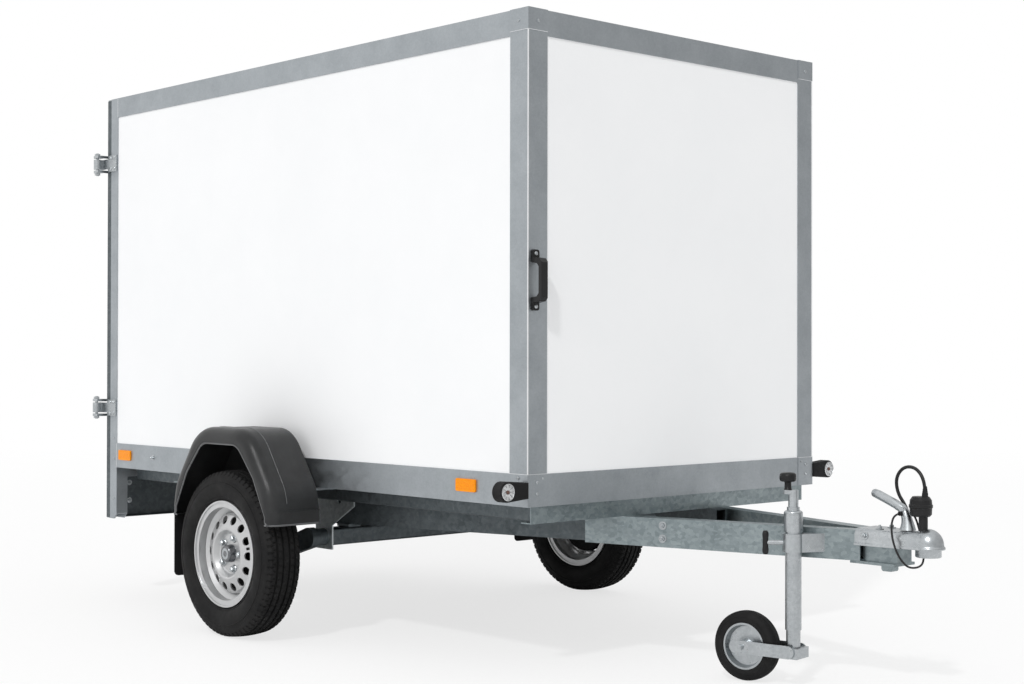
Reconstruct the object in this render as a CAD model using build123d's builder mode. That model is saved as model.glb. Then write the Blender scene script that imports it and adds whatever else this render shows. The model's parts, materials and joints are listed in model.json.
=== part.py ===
"""Single-axle box trailer with a V drawbar, double rear doors and a jockey wheel.

+X is forward, -Y is the right-hand side and z = 0 is the floor that the wheels stand on.
"""
import os
from math import cos, radians, sin, sqrt, tan
from build123d import *

os.makedirs("parts", exist_ok=True)

# Box body
FRONT = 792                      # front face of the body
BODY_LENGTH = 2513               # front face to the rear frame's back
BODY_WIDTH = 1390
BODY_BOTTOM = 522
BODY_HEIGHT = 1500
REAR = FRONT - BODY_LENGTH
SIDE = BODY_WIDTH / 2
TOP = BODY_BOTTOM + BODY_HEIGHT
PROFILE = 3                      # sheet of the outer edge profiles
WALL = 18
FLOOR = 15
FLOOR_TOP = BODY_BOTTOM + PROFILE + FLOOR
ROOF_BOTTOM = TOP - PROFILE - WALL
POST = 80                        # front corner profile's legs
POST_BEND = 2.5                  # outer bend radius of the profiles
TOP_RAIL = 78
TOP_FLANGE = 60
BOTTOM_RAIL = 98
BOTTOM_FLANGE = 40
CAP = 1.5                        # corner cap plates
CAP_HEIGHT = 65

# Rear frame
REAR_POST_DEPTH = 84
REAR_POST_WIDTH = 50
REAR_POST_BOTTOM = BODY_BOTTOM - 209
REAR_POST_TOE = 22               # chamfer at the post's foot
REAR_STEP = 32                   # rearmost strip of the post, set in
REAR_STEP_DEPTH = 4
REAR_INNER = REAR + REAR_POST_DEPTH
HEADER_HEIGHT = 60
SILL_BOTTOM = BODY_BOTTOM - 40
OPENING_HALF = SIDE - REAR_POST_WIDTH
BOARD_FLANGE = 25
LAMP_WIDTH = 210
LAMP_HEIGHT = 120
LAMP_BASE = 14
LAMP_LENS = 28
LAMP_CORNER = 18

# Doors
DOOR_GAP = 5
DOOR_CENTRE_GAP = 8
DOOR_THICKNESS = 28
DOOR_PROUD = 5
DOOR_FRAME = 38
DOOR_WEB = 4                     # sheet of the channel round each door
DOOR_PANEL = 20
PANEL_INSET = 4                  # panel's face behind its frame's
DOOR_EDGE = OPENING_HALF - DOOR_GAP
DOOR_CENTRE = DOOR_CENTRE_GAP / 2
DOOR_BOTTOM = FLOOR_TOP + DOOR_GAP
DOOR_TOP = TOP - HEADER_HEIGHT - DOOR_GAP
DOOR_BACK = REAR - DOOR_PROUD
PANEL_BACK = DOOR_BACK + PANEL_INSET

# Door hinges
HINGE_X = REAR - 37
HINGE_Y = SIDE + 25
HINGE_HEIGHTS = (BODY_BOTTOM + 241, TOP - 263)
HINGE_PLATE_HALF = 33
SLEEVE_R = 15
SLEEVE_HALF = 20
EAR = 10
EAR_GAP = 5
PIN_R = 6
RUNNING = 0.05                   # radial clearance in bearings, hinges and slides
STRAP = 6
STRAP_HALF = 22
STRAP_LENGTH = 330

# Door locks
LOCK_Y = 120
LOCK_R = 10
LOCK_WALL = 2.5
LOCK_X = DOOR_BACK - 18
LOCK_GUIDE_R = 15
LOCK_HANDLE = 560                # lever's height above the door's lower edge
LOCK_LEVER = 250
KEEPER_HALF = 14                 # half the gap between a keeper's cheeks
KEEPER_SHEET = 4

# Mudguards and road wheels
TYRE_R = 289
TYRE_WIDTH = 155
AXLE_SETBACK = 1290              # axle behind the body's front face
AXLE_X = FRONT - AXLE_SETBACK
GUARD_X = AXLE_X - 2
GUARD_IN = SIDE + 48
GUARD_WIDTH = 202
GUARD_OUT = GUARD_IN + GUARD_WIDTH
GUARD_SHEET = 5
GUARD_RECESS = 2                 # inner band of the guard set below the outer one
GUARD_BAND = 71                  # width of the outer band
GUARD_SHOULDER = 40
GUARD_CORNER = 150
GUARD_ARCH_CORNER = 75
GUARD_HALF = TYRE_R + 24
GUARD_BOTTOM = TYRE_R + 116
GUARD_TOP = 2 * TYRE_R + 148
STAY = 6
STAY_WIDTH = 44
STAY_INSET = 45                  # stay's middle inside the guard's end
FLAP = 4
FLAP_CORNER = 18
FLAP_DROP = 222
WHEEL_Y = GUARD_OUT - TYRE_WIDTH / 2 - 6.5
RIM_SEAT_R = 165
RIM_FLANGE = 19                  # flange's height over the bead seat
RIM_WELL = 19                    # drop of the well below the bead seat
RIM_HALF = 65
BEAD_HALF = 57
RIM_SHEET = 4
DISC_FACE = 30                   # mounting face outside the wheel's middle plane
DISC_BORE_R = 31
DISC_HOLES = 14
DISC_HOLE_R = 14.5
BOLTS = 5
BOLT_CIRCLE_R = 56
BOLT_R = 6
STUB_R = 15
HUB_R = 38
HUB_FLANGE_R = 72
HUB_LENGTH = 70                  # inward from the wheel's middle plane

# Axle
CROSS_HEIGHT = 54
CROSS_DEPTH = 44
CROSS_SHEET = 4
ARM_HEIGHT = 90
ARM_WIDTH = 50
ARM_WALL = 4
ARM_TOP = BODY_BOTTOM - CROSS_HEIGHT
ARM_BOTTOM = ARM_TOP - ARM_HEIGHT
SADDLE = 10
TUBE = 60
TUBE_CORNER = 8
TUBE_SHEET = 6
TUBE_X = AXLE_X + 150
TUBE_Z = ARM_BOTTOM - SADDLE - TUBE / 2
BRACKET_Y = SIDE - 95
BRACKET = 6
BRACKET_HALF = 172
BRACKET_HANG = 66
BRACKET_FOOT = 48
REAR_CROSS = 513                 # rear cross member's front face ahead of the body's rear
SWING_Y = SIDE - 45
SWING = 27

# Drawbar
ARM_TIP = FRONT + 735
ARM_TIP_GAP = 0.5
ARM_CLEAR = 50                   # arm's rear end inside the axle bracket
ARM_LAP_FRONT = FRONT + 20
ARM_LAP_REAR = FRONT - 150
ARM_END = TUBE_X - 100
ARM_SLOPE = (BRACKET_Y - ARM_CLEAR - ARM_TIP_GAP) / (ARM_TIP - ARM_END)
ARM_SECANT = sqrt(1 + ARM_SLOPE**2)

# Coupling
SHELL = 6
SHELL_REAR = ARM_TIP - 12
SHELL_TOP = ARM_TOP + SHELL
SHELL_BOTTOM = SHELL_TOP - 49
SHELL_HALF = 62
SHELL_CORNER = 10
BALL_X = ARM_TIP + 198
SOCKET_R = 25.2
SOCKET_Z = SHELL_TOP - 44
DOME_R = 44
CUP_R = DOME_R - 7
DOME_Z = SHELL_TOP - 35
DOME_BOTTOM = SHELL_TOP - 72
RIM_LIP = 4
RIM_LIP_HEIGHT = 7
NOSE_HALF = 36
NOSE_PLATE = 8

# Jockey wheel
JOCKEY_X = FRONT + 568
JOCKEY_OFFSET = 51               # leg's axis outside the arm's face
JOCKEY_WHEEL_R = 105
JOCKEY_WHEEL_WIDTH = 58
JOCKEY_RIM_R = 70
JOCKEY_TRAIL = 155
JOCKEY_SWIVEL = 9                # degrees the fork stands off straight back
JOCKEY_PIN_R = 8
FORK_IN = 37
FORK_SHEET = 5
FORK_HEIGHT = 38
FORK_TOP = JOCKEY_WHEEL_R + 12
LEG_R = 21
LEG_WALL = 4
LEG_BOTTOM = FORK_TOP + 1
LEG_OUT = 50                     # length of leg wound out of the tube
SPIGOT_R = 12
SPIGOT = 80
TUBE_WALL = 3
JOCKEY_TUBE_R = LEG_R + TUBE_WALL
JOCKEY_TUBE_BOTTOM = LEG_BOTTOM + LEG_OUT
JOCKEY_TUBE_TOP = ARM_TOP + 52
LEG_TOP = JOCKEY_TUBE_TOP - 70
CLAMP_R = 32
CLAMP_BOTTOM = ARM_BOTTOM + 20
CLAMP_HEIGHT = 54
CRANK_OFFSET = 20
CRANK_R = 15
CRANK_ARM = 12
KNOB_R = 25
KNOB_NECK = 36
KNOB_HEIGHT = 28

SIDES = (("right", -1), ("left", 1))


def block(x, y, z, mode=Mode.ADD):
    """A box between two values on each axis."""
    with Locations(((x[0] + x[1]) / 2, (y[0] + y[1]) / 2, (z[0] + z[1]) / 2)):
        Box(abs(x[1] - x[0]), abs(y[1] - y[0]), abs(z[1] - z[0]), mode=mode)


def rod(start, end, radius, mode=Mode.ADD):
    """A round bar from one point to another."""
    axis = Vector(*end) - Vector(*start)
    with Locations(Plane(origin=start, z_dir=axis.normalized()).location):
        Cylinder(radius, axis.length, align=(Align.CENTER, Align.CENTER, Align.MIN), mode=mode)


def mirrored(half):
    """A section given by its right half, from the middle line outwards, as the whole closed outline."""
    return half + [(-u, v) for u, v in reversed(half)]


def cord_radii(route):
    """The largest bend radius that each corner of a cord's route has room for."""
    points = [Vector(*point) for point in route]
    radii = []
    for before, corner, after in zip(points, points[1:], points[2:]):
        arriving = corner - before
        leaving = after - corner
        half_turn = radians(arriving.get_angle(leaving) / 2)
        radii.append(0.45 * min(arriving.length, leaving.length) / tan(half_turn))
    return radii


def save(piece, name):
    """Labels a finished piece and writes its file."""
    piece.part.label = name
    export_step(piece.part, f"parts/{name}.step")


# Box panels
with BuildPart() as floor:
    block((REAR_INNER, FRONT - PROFILE), (PROFILE - SIDE, SIDE - PROFILE), (BODY_BOTTOM + PROFILE, FLOOR_TOP))
save(floor, "floor")

for name, side in SIDES:
    with BuildPart() as wall:
        block(
            (REAR_INNER, FRONT - PROFILE),
            (side * (SIDE - PROFILE - WALL), side * (SIDE - PROFILE)),
            (FLOOR_TOP, ROOF_BOTTOM),
        )
    save(wall, f"wall_{name}")

with BuildPart() as wall_front:
    wall_inner = SIDE - PROFILE - WALL
    block((FRONT - PROFILE - WALL, FRONT - PROFILE), (-wall_inner, wall_inner), (FLOOR_TOP, ROOF_BOTTOM))
save(wall_front, "wall_front")

with BuildPart() as roof:
    block((REAR_INNER, FRONT - PROFILE), (PROFILE - SIDE, SIDE - PROFILE), (ROOF_BOTTOM, TOP - PROFILE))
save(roof, "roof")

# Edge profiles round the panels
with BuildPart() as front_posts:
    block((FRONT - POST, FRONT), (SIDE - PROFILE, SIDE), (BODY_BOTTOM, TOP))
    block((FRONT - PROFILE, FRONT), (SIDE - POST, SIDE), (BODY_BOTTOM, TOP))
    for low in (BODY_BOTTOM, TOP - PROFILE):
        block((FRONT - POST, FRONT), (SIDE - POST, SIDE), (low, low + PROFILE))
    upright_edges = front_posts.edges().filter_by(Axis.Z)
    fillet(upright_edges.sort_by(lambda edge: edge.center().X + edge.center().Y)[-1], POST_BEND)
    mirror(about=Plane.XZ)
save(front_posts, "front_posts")

for name, low, high, flange_low, flange in (
    ("top_rails", TOP - TOP_RAIL, TOP, TOP - PROFILE, TOP_FLANGE),
    ("bottom_rails", BODY_BOTTOM, BODY_BOTTOM + BOTTOM_RAIL, BODY_BOTTOM, BOTTOM_FLANGE),
):
    with BuildPart() as rails:
        block((REAR_INNER, FRONT - POST), (SIDE - PROFILE, SIDE), (low, high))
        block((REAR_INNER, FRONT - POST), (SIDE - flange, SIDE), (flange_low, flange_low + PROFILE))
        mirror(about=Plane.XZ)
        block((FRONT - PROFILE, FRONT), (POST - SIDE, SIDE - POST), (low, high))
        block((FRONT - flange, FRONT), (POST - SIDE, SIDE - POST), (flange_low, flange_low + PROFILE))
    save(rails, name)

with BuildPart() as corner_caps:
    for low, high in ((TOP - CAP_HEIGHT, TOP + CAP), (BODY_BOTTOM, BODY_BOTTOM + BOTTOM_RAIL)):
        block((FRONT - POST, FRONT + CAP), (SIDE, SIDE + CAP), (low, high))
        block((FRONT, FRONT + CAP), (SIDE - POST, SIDE + CAP), (low, high))
    block((FRONT - POST, FRONT + CAP), (SIDE - POST, SIDE + CAP), (TOP, TOP + CAP))
    mirror(about=Plane.XZ)
save(corner_caps, "corner_caps")

# Rear frame
with BuildPart() as rear_posts:
    block((REAR, REAR_INNER), (OPENING_HALF, SIDE), (REAR_POST_BOTTOM, TOP))
    chamfer(rear_posts.edges().filter_by(Axis.Y).group_by(Axis.Z)[0].sort_by(Axis.X)[-1], REAR_POST_TOE)
    block((REAR, REAR + REAR_STEP), (SIDE - REAR_STEP_DEPTH, SIDE), (REAR_POST_BOTTOM, TOP), Mode.SUBTRACT)
    block(
        (REAR + PROFILE, REAR_INNER - PROFILE),
        (OPENING_HALF + PROFILE, SIDE - REAR_STEP_DEPTH - PROFILE),
        (REAR_POST_BOTTOM, TOP - PROFILE),
        Mode.SUBTRACT,
    )
    mirror(about=Plane.XZ)
save(rear_posts, "rear_posts")

with BuildPart() as rear_crossbars:
    cheek_out = KEEPER_HALF + KEEPER_SHEET
    for low, high in ((TOP - HEADER_HEIGHT, TOP), (SILL_BOTTOM, FLOOR_TOP)):
        block((REAR, REAR_INNER), (-OPENING_HALF, OPENING_HALF), (low, high))
        block(
            (REAR + PROFILE, REAR_INNER - PROFILE),
            (-OPENING_HALF, OPENING_HALF),
            (low + PROFILE, high - PROFILE),
            Mode.SUBTRACT,
        )
        for y in (-LOCK_Y, LOCK_Y):
            keeper = (low + 14, high - 18)
            block((REAR - KEEPER_SHEET, REAR), (y - cheek_out, y + cheek_out), keeper)
            for cheek in (-1, 1):
                block((LOCK_X - LOCK_R, REAR), (y + cheek * KEEPER_HALF, y + cheek * cheek_out), keeper)
save(rear_crossbars, "rear_crossbars")

with BuildPart() as light_board:
    block((REAR, REAR + PROFILE), (-OPENING_HALF, OPENING_HALF), (REAR_POST_BOTTOM, SILL_BOTTOM))
    for low in (REAR_POST_BOTTOM, SILL_BOTTOM - PROFILE):
        block((REAR, REAR + BOARD_FLANGE), (-OPENING_HALF, OPENING_HALF), (low, low + PROFILE))
save(light_board, "light_board")

lamp_middle = (REAR_POST_BOTTOM + SILL_BOTTOM) / 2
lamp_z = (lamp_middle - LAMP_HEIGHT / 2, lamp_middle + LAMP_HEIGHT / 2)
lamp_y = (OPENING_HALF - 15 - LAMP_WIDTH, OPENING_HALF - 15)
with BuildPart() as tail_lamps:
    block((REAR - LAMP_BASE, REAR), lamp_y, lamp_z)
    fillet(tail_lamps.edges().filter_by(Axis.X), LAMP_CORNER)
    mirror(about=Plane.XZ)
save(tail_lamps, "tail_lamps")

with BuildPart() as tail_lenses:
    lens_back = REAR - LAMP_BASE - LAMP_LENS
    block((lens_back, REAR - LAMP_BASE), (lamp_y[0] + 5, lamp_y[1] - 5), (lamp_z[0] + 5, lamp_z[1] - 5))
    fillet(tail_lenses.edges().filter_by(Axis.X), LAMP_CORNER - 5)
    fillet(tail_lenses.faces().sort_by(Axis.X)[0].edges(), 6)
    mirror(about=Plane.XZ)
save(tail_lenses, "tail_lenses")

# Fittings on the body
GRAB_Y = 25 - SIDE
GRAB_WIDTH = 28
GRAB_LENGTH = 183
GRAB_DEPTH = 48
GRAB_BAR = 14
GRAB_FOOT = 9
GRAB_BOTTOM = BODY_BOTTOM + 590
GRAB_INNER = GRAB_DEPTH - GRAB_BAR
with BuildPart() as grab_handle:
    with BuildSketch(Plane(origin=(FRONT, GRAB_Y, GRAB_BOTTOM), x_dir=(1, 0, 0), z_dir=(0, -1, 0))) as bow:
        with BuildLine():
            lower_end = [
                (GRAB_INNER, 52), (GRAB_INNER - 8, 42), (0, 38), (0, 0),
                (GRAB_FOOT, 0), (GRAB_FOOT, 23), (GRAB_DEPTH - 12, 27), (GRAB_DEPTH, 40),
            ]
            Polyline(*lower_end, *[(x, GRAB_LENGTH - z) for x, z in reversed(lower_end)], close=True)
        make_face()
    extrude(amount=GRAB_WIDTH / 2, both=True)
    fillet(grab_handle.edges().filter_by(Axis.Z).group_by(Axis.X)[-1], 5)
    fillet(grab_handle.edges().filter_by(Axis.X).group_by(Axis.Z)[0], 8)
    fillet(grab_handle.edges().filter_by(Axis.X).group_by(Axis.Z)[-1], 8)
save(grab_handle, "grab_handle")

with BuildPart() as side_reflectors:
    for x in (FRONT - 277, REAR + 153):
        block((x - 46, x + 46), (SIDE, SIDE + 6), (BODY_BOTTOM + 32, BODY_BOTTOM + 72))
    fillet(side_reflectors.edges().filter_by(Axis.Y), 6)
    mirror(about=Plane.XZ)
save(side_reflectors, "side_reflectors")

MARKER_Y = SIDE + 88
MARKER_Z = BODY_BOTTOM + 51
MARKER_R = 31
MARKER_BACK = FRONT - 27
MARKER_FACE = FRONT + 8
MARKER_LENS = 5
MARKER_LENS_R = 26
with BuildPart() as marker_arms:
    with BuildSketch(Plane.YZ.offset(MARKER_BACK)) as outline:
        with Locations((MARKER_Y, MARKER_Z)):
            Circle(MARKER_R)
        with Locations((SIDE + CAP + 10, MARKER_Z)):
            Rectangle(20, 2 * MARKER_R - 14)
        make_hull()
    extrude(amount=MARKER_FACE - MARKER_BACK)
    fillet(marker_arms.faces().sort_by(Axis.X)[-1].edges(), 4)
    mirror(about=Plane.XZ)
save(marker_arms, "marker_arms")

for name, x in (("marker_lenses", MARKER_FACE), ("marker_lenses_rear", MARKER_BACK - MARKER_LENS)):
    with BuildPart() as lenses:
        rod((x, MARKER_Y, MARKER_Z), (x + MARKER_LENS, MARKER_Y, MARKER_Z), MARKER_LENS_R)
        mirror(about=Plane.XZ)
    save(lenses, name)

with BuildPart() as door_hinge_plates:
    for z in HINGE_HEIGHTS:
        sleeve = (z - SLEEVE_HALF, z + SLEEVE_HALF)
        plate = (z - HINGE_PLATE_HALF, z + HINGE_PLATE_HALF)
        block((REAR + 18, REAR_INNER - 5), (SIDE, SIDE + STRAP), plate)
        block((HINGE_X, REAR + 18), (SIDE, SIDE + STRAP), sleeve)
        block((HINGE_X - 8, HINGE_X + 8), (SIDE, HINGE_Y), sleeve)
        rod((HINGE_X, HINGE_Y, sleeve[0]), (HINGE_X, HINGE_Y, sleeve[1]), SLEEVE_R)
        rod((HINGE_X, HINGE_Y, sleeve[0]), (HINGE_X, HINGE_Y, sleeve[1]), PIN_R + RUNNING, Mode.SUBTRACT)
    mirror(about=Plane.XZ)
save(door_hinge_plates, "door_hinge_plates")

# Doors
for name, side in SIDES:
    door_x = (DOOR_BACK, DOOR_BACK + DOOR_THICKNESS)
    panel_x = (PANEL_BACK, PANEL_BACK + DOOR_PANEL)
    panel_y = (side * (DOOR_CENTRE + DOOR_WEB), side * (DOOR_EDGE - DOOR_WEB))
    panel_z = (DOOR_BOTTOM + DOOR_WEB, DOOR_TOP - DOOR_WEB)
    with BuildPart() as frame:
        block(door_x, (side * DOOR_CENTRE, side * DOOR_EDGE), (DOOR_BOTTOM, DOOR_TOP))
        block(
            door_x,
            (side * (DOOR_CENTRE + DOOR_FRAME), side * (DOOR_EDGE - DOOR_FRAME)),
            (DOOR_BOTTOM + DOOR_FRAME, DOOR_TOP - DOOR_FRAME),
            Mode.SUBTRACT,
        )
        block(panel_x, panel_y, panel_z, Mode.SUBTRACT)
    save(frame, f"door_{name}_frame")

    with BuildPart() as panel:
        block(panel_x, panel_y, panel_z)
    save(panel, f"door_{name}_panel")

    with BuildPart() as hinges:
        strap_x = (DOOR_BACK - STRAP, DOOR_BACK)
        pin_y = side * HINGE_Y
        ear_low = SLEEVE_HALF + EAR_GAP
        pin_half = ear_low + EAR + 11
        for z in HINGE_HEIGHTS:
            strap_y = (side * (DOOR_EDGE - STRAP_LENGTH), side * DOOR_EDGE)
            block(strap_x, strap_y, (z - STRAP_HALF, z + STRAP_HALF))
            ears_y = (side * (DOOR_EDGE - 40), side * DOOR_EDGE)
            block(strap_x, ears_y, (z - ear_low - EAR, z + ear_low + EAR))
            for low in (z - ear_low - EAR, z + ear_low):
                ear = (low, low + EAR)
                block(strap_x, (side * (DOOR_EDGE - 40), pin_y), ear)
                block((HINGE_X, DOOR_BACK), (pin_y - SLEEVE_R, pin_y + SLEEVE_R), ear)
                rod((HINGE_X, pin_y, ear[0]), (HINGE_X, pin_y, ear[1]), SLEEVE_R)
            rod((HINGE_X, pin_y, z - pin_half), (HINGE_X, pin_y, z + pin_half), PIN_R)
            for low in (z - ear_low - EAR - 9, z + ear_low + EAR):
                with BuildSketch(Plane.XY.offset(low)):
                    with Locations((HINGE_X, pin_y)):
                        RegularPolygon(radius=11, side_count=6)
                extrude(amount=9)
        far_ends = hinges.edges().filter_by(Axis.X).group_by(lambda e: round(abs(e.center().Y)))[0]
        fillet(far_ends, STRAP_HALF - 2)
    save(hinges, f"door_{name}_hinges")

    with BuildPart() as lock_bar:
        lock_y = side * LOCK_Y
        lever_mid = DOOR_BOTTOM + LOCK_HANDLE
        rod((LOCK_X, lock_y, SILL_BOTTOM + 8), (LOCK_X, lock_y, TOP - 10), LOCK_R)
        for z in (DOOR_BOTTOM + 60, DOOR_BOTTOM + 405, DOOR_TOP - 457, DOOR_TOP - 60):
            guide = (z - 20, z + 20)
            block((LOCK_X, PANEL_BACK), (lock_y - LOCK_GUIDE_R, lock_y + LOCK_GUIDE_R), guide)
            block((DOOR_BACK - 2, PANEL_BACK), (lock_y - 34, lock_y + 34), guide)
            rod((LOCK_X, lock_y, guide[0]), (LOCK_X, lock_y, guide[1]), LOCK_GUIDE_R)
        rod((LOCK_X, lock_y, lever_mid - 25), (LOCK_X, lock_y, lever_mid + 25), LOCK_GUIDE_R - 1)
        lever_z = (lever_mid - 14, lever_mid + 14)
        block((LOCK_X - 14, LOCK_X - 4), (lock_y, lock_y + side * LOCK_LEVER), lever_z)
        catch_z = (lever_mid - 20, lever_mid + 20)
        block((LOCK_X - 4, PANEL_BACK), (lock_y + side * 190, lock_y + side * 215), catch_z)
        rod((LOCK_X, lock_y, SILL_BOTTOM + 8), (LOCK_X, lock_y, TOP - 10), LOCK_R - LOCK_WALL, Mode.SUBTRACT)
    save(lock_bar, f"lock_bar_{name}")


# Drawbar and chassis
def arm_face(x, offset=0):
    """Distance from the centre line of a face that lies the given offset inside an arm's outer face."""
    return (ARM_WIDTH - offset) * ARM_SECANT + ARM_TIP_GAP + ARM_SLOPE * (ARM_TIP - x)


JOCKEY_Y = -arm_face(JOCKEY_X) - JOCKEY_OFFSET

for name, front, rear, lap in (
    ("drawbar_front_arms", ARM_TIP, ARM_LAP_REAR, 0),
    ("drawbar_rear_arms", ARM_LAP_FRONT, ARM_END, ARM_WIDTH),
):
    with BuildPart() as arms:
        for wall, mode in ((0, Mode.ADD), (ARM_WALL, Mode.SUBTRACT)):
            outer = lap + wall
            inner = lap + ARM_WIDTH - wall
            with BuildSketch(Plane.XY.offset(ARM_BOTTOM + wall)):
                with BuildLine():
                    Polyline(
                        (front, arm_face(front, outer)),
                        (rear, arm_face(rear, outer)),
                        (rear, arm_face(rear, inner)),
                        (front, arm_face(front, inner)),
                        close=True,
                    )
                make_face()
            extrude(amount=ARM_HEIGHT - 2 * wall, mode=mode)
        mirror(about=Plane.XZ)
    save(arms, name)

with BuildPart() as cross_members:
    for front, low, half in (
        (FRONT - 20, ARM_TOP, SIDE - 33),
        (TUBE_X + CROSS_DEPTH / 2, ARM_TOP, BRACKET_Y),
        (REAR + REAR_CROSS, SILL_BOTTOM, SIDE - 33),
    ):
        back = front - CROSS_DEPTH
        block((back, front), (-half, half), (low, BODY_BOTTOM))
        block(
            (back, front - CROSS_SHEET),
            (-half, half),
            (low + CROSS_SHEET, BODY_BOTTOM - CROSS_SHEET),
            Mode.SUBTRACT,
        )
save(cross_members, "cross_members")

with BuildPart() as axle_tube:
    tube_half = TUBE / 2
    tube_y = (-BRACKET_Y, BRACKET_Y)
    block((TUBE_X - tube_half, TUBE_X + tube_half), tube_y, (TUBE_Z - tube_half, TUBE_Z + tube_half))
    fillet(axle_tube.edges().filter_by(Axis.Y), TUBE_CORNER)
    bore = tube_half - TUBE_SHEET
    block((TUBE_X - bore, TUBE_X + bore), tube_y, (TUBE_Z - bore, TUBE_Z + bore), Mode.SUBTRACT)
save(axle_tube, "axle_tube")

with BuildPart() as axle_brackets:
    with BuildSketch(Plane.XZ.offset(BRACKET_Y)):
        with BuildLine():
            Polyline(
                (TUBE_X - BRACKET_HALF, BODY_BOTTOM),
                (TUBE_X - BRACKET_HALF, BODY_BOTTOM - BRACKET_HANG),
                (TUBE_X - BRACKET_FOOT, TUBE_Z + BRACKET_FOOT - 4),
                (TUBE_X - BRACKET_FOOT, TUBE_Z - BRACKET_FOOT + 6),
                (TUBE_X + BRACKET_FOOT, TUBE_Z - BRACKET_FOOT + 6),
                (TUBE_X + BRACKET_FOOT, TUBE_Z + BRACKET_FOOT - 4),
                (TUBE_X + BRACKET_HALF, BODY_BOTTOM - BRACKET_HANG),
                (TUBE_X + BRACKET_HALF, BODY_BOTTOM),
                close=True,
            )
        make_face()
        with Locations((TUBE_X + 88, BODY_BOTTOM - 52), (TUBE_X - 88, BODY_BOTTOM - 52)):
            Circle(11, mode=Mode.SUBTRACT)
    extrude(amount=BRACKET)
    block(
        (TUBE_X - BRACKET_HALF, TUBE_X + BRACKET_HALF),
        (BOTTOM_FLANGE - SIDE, -BRACKET_Y),
        (BODY_BOTTOM - BRACKET, BODY_BOTTOM),
    )
    mirror(about=Plane.XZ)
save(axle_brackets, "axle_brackets")

with BuildPart() as axle_saddles:
    saddle_y = (arm_face(TUBE_X, 2 * ARM_WIDTH), arm_face(TUBE_X, ARM_WIDTH))
    block((TUBE_X - 34, TUBE_X + 34), saddle_y, (ARM_BOTTOM - SADDLE, ARM_BOTTOM))
    mirror(about=Plane.XZ)
save(axle_saddles, "axle_saddles")

with BuildPart() as swing_arms:
    rod((TUBE_X, BRACKET_Y + BRACKET, TUBE_Z), (TUBE_X, SWING_Y + 2, TUBE_Z), TUBE / 2)
    with BuildSketch(Plane.XZ.offset(-SWING_Y - SWING)):
        with Locations((TUBE_X, TUBE_Z)):
            Circle(36)
        with Locations((AXLE_X, TYRE_R)):
            Circle(32)
        make_hull()
    extrude(amount=SWING)
    hub_inner = WHEEL_Y - HUB_LENGTH
    rod((AXLE_X, SWING_Y + 10, TYRE_R), (AXLE_X, hub_inner - 10, TYRE_R), 24)
    rod((AXLE_X, hub_inner - 20, TYRE_R), (AXLE_X, WHEEL_Y + DISC_FACE + 1, TYRE_R), STUB_R)
    mirror(about=Plane.XZ)
save(swing_arms, "swing_arms")

# Mudguards
GUARD_OUTLINE = mirrored([
    (TYRE_R - 132, GUARD_TOP),
    (TYRE_R + 9, TYRE_R + 236),
    (GUARD_HALF, GUARD_BOTTOM + 47),
    (GUARD_HALF, GUARD_BOTTOM),
])
GUARD_ARCH = mirrored([
    (GUARD_HALF - 201, GUARD_TOP - 53),
    (GUARD_HALF - 102, GUARD_TOP - 160),
    (GUARD_HALF - 32, GUARD_BOTTOM + 32),
    (GUARD_HALF - 32, GUARD_BOTTOM + 15),
    (GUARD_HALF - 22, GUARD_BOTTOM + 2),
    (GUARD_HALF - 22, GUARD_BOTTOM - 20),
])
guard_plane = Plane(origin=(GUARD_X, GUARD_IN, 0), x_dir=(-1, 0, 0), z_dir=(0, 1, 0))
guard_shapes = []
for inset in (0, GUARD_SHEET):
    with BuildPart() as guard_shape:
        with BuildSketch(guard_plane.offset(inset)) as outline:
            with BuildLine():
                Polyline(*GUARD_OUTLINE, close=True)
            make_face()
            fillet(outline.vertices().group_by(Axis.Y)[-1], GUARD_CORNER)
            fillet(outline.vertices().group_by(Axis.Y)[2], GUARD_CORNER)
            if inset:
                offset(amount=-inset)
        extrude(amount=GUARD_WIDTH - 2 * inset)
        fillet(guard_shape.faces().sort_by(Axis.Y)[-1].edges().sort_by(Axis.Z)[1:], GUARD_SHOULDER - inset)
    guard_shapes.append(guard_shape.part)

with BuildPart() as mudguards:
    add(guard_shapes[0])
    with BuildSketch(guard_plane) as recess:
        with BuildLine():
            Polyline(*GUARD_OUTLINE, close=True)
        make_face()
        fillet(recess.vertices().group_by(Axis.Y)[-1], GUARD_CORNER)
        fillet(recess.vertices().group_by(Axis.Y)[2], GUARD_CORNER)
        offset(amount=-GUARD_RECESS, mode=Mode.SUBTRACT)
        with Locations((0, GUARD_BOTTOM)):
            Rectangle(3 * GUARD_HALF, 100, mode=Mode.SUBTRACT)
    extrude(amount=GUARD_WIDTH - GUARD_BAND, mode=Mode.SUBTRACT)
    add(guard_shapes[1], mode=Mode.SUBTRACT)
    with BuildSketch(guard_plane.offset(GUARD_SHEET)) as arch:
        with BuildLine():
            Polyline(*GUARD_ARCH, close=True)
        make_face()
        fillet(arch.vertices().group_by(Axis.Y)[-2], GUARD_ARCH_CORNER)
        fillet(arch.vertices().group_by(Axis.Y)[-1], GUARD_ARCH_CORNER)
    extrude(amount=GUARD_WIDTH, mode=Mode.SUBTRACT)
    mirror(about=Plane.XZ)
save(mudguards, "mudguards")

with BuildPart() as mudguard_stays:
    for x in (GUARD_X - GUARD_HALF + STAY_INSET, GUARD_X + GUARD_HALF - STAY_INSET):
        block(
            (x - STAY_WIDTH / 2, x + STAY_WIDTH / 2),
            (SIDE - BOTTOM_FLANGE, GUARD_IN),
            (BODY_BOTTOM - STAY, BODY_BOTTOM),
        )
    mirror(about=Plane.XZ)
save(mudguard_stays, "mudguard_stays")

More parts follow.
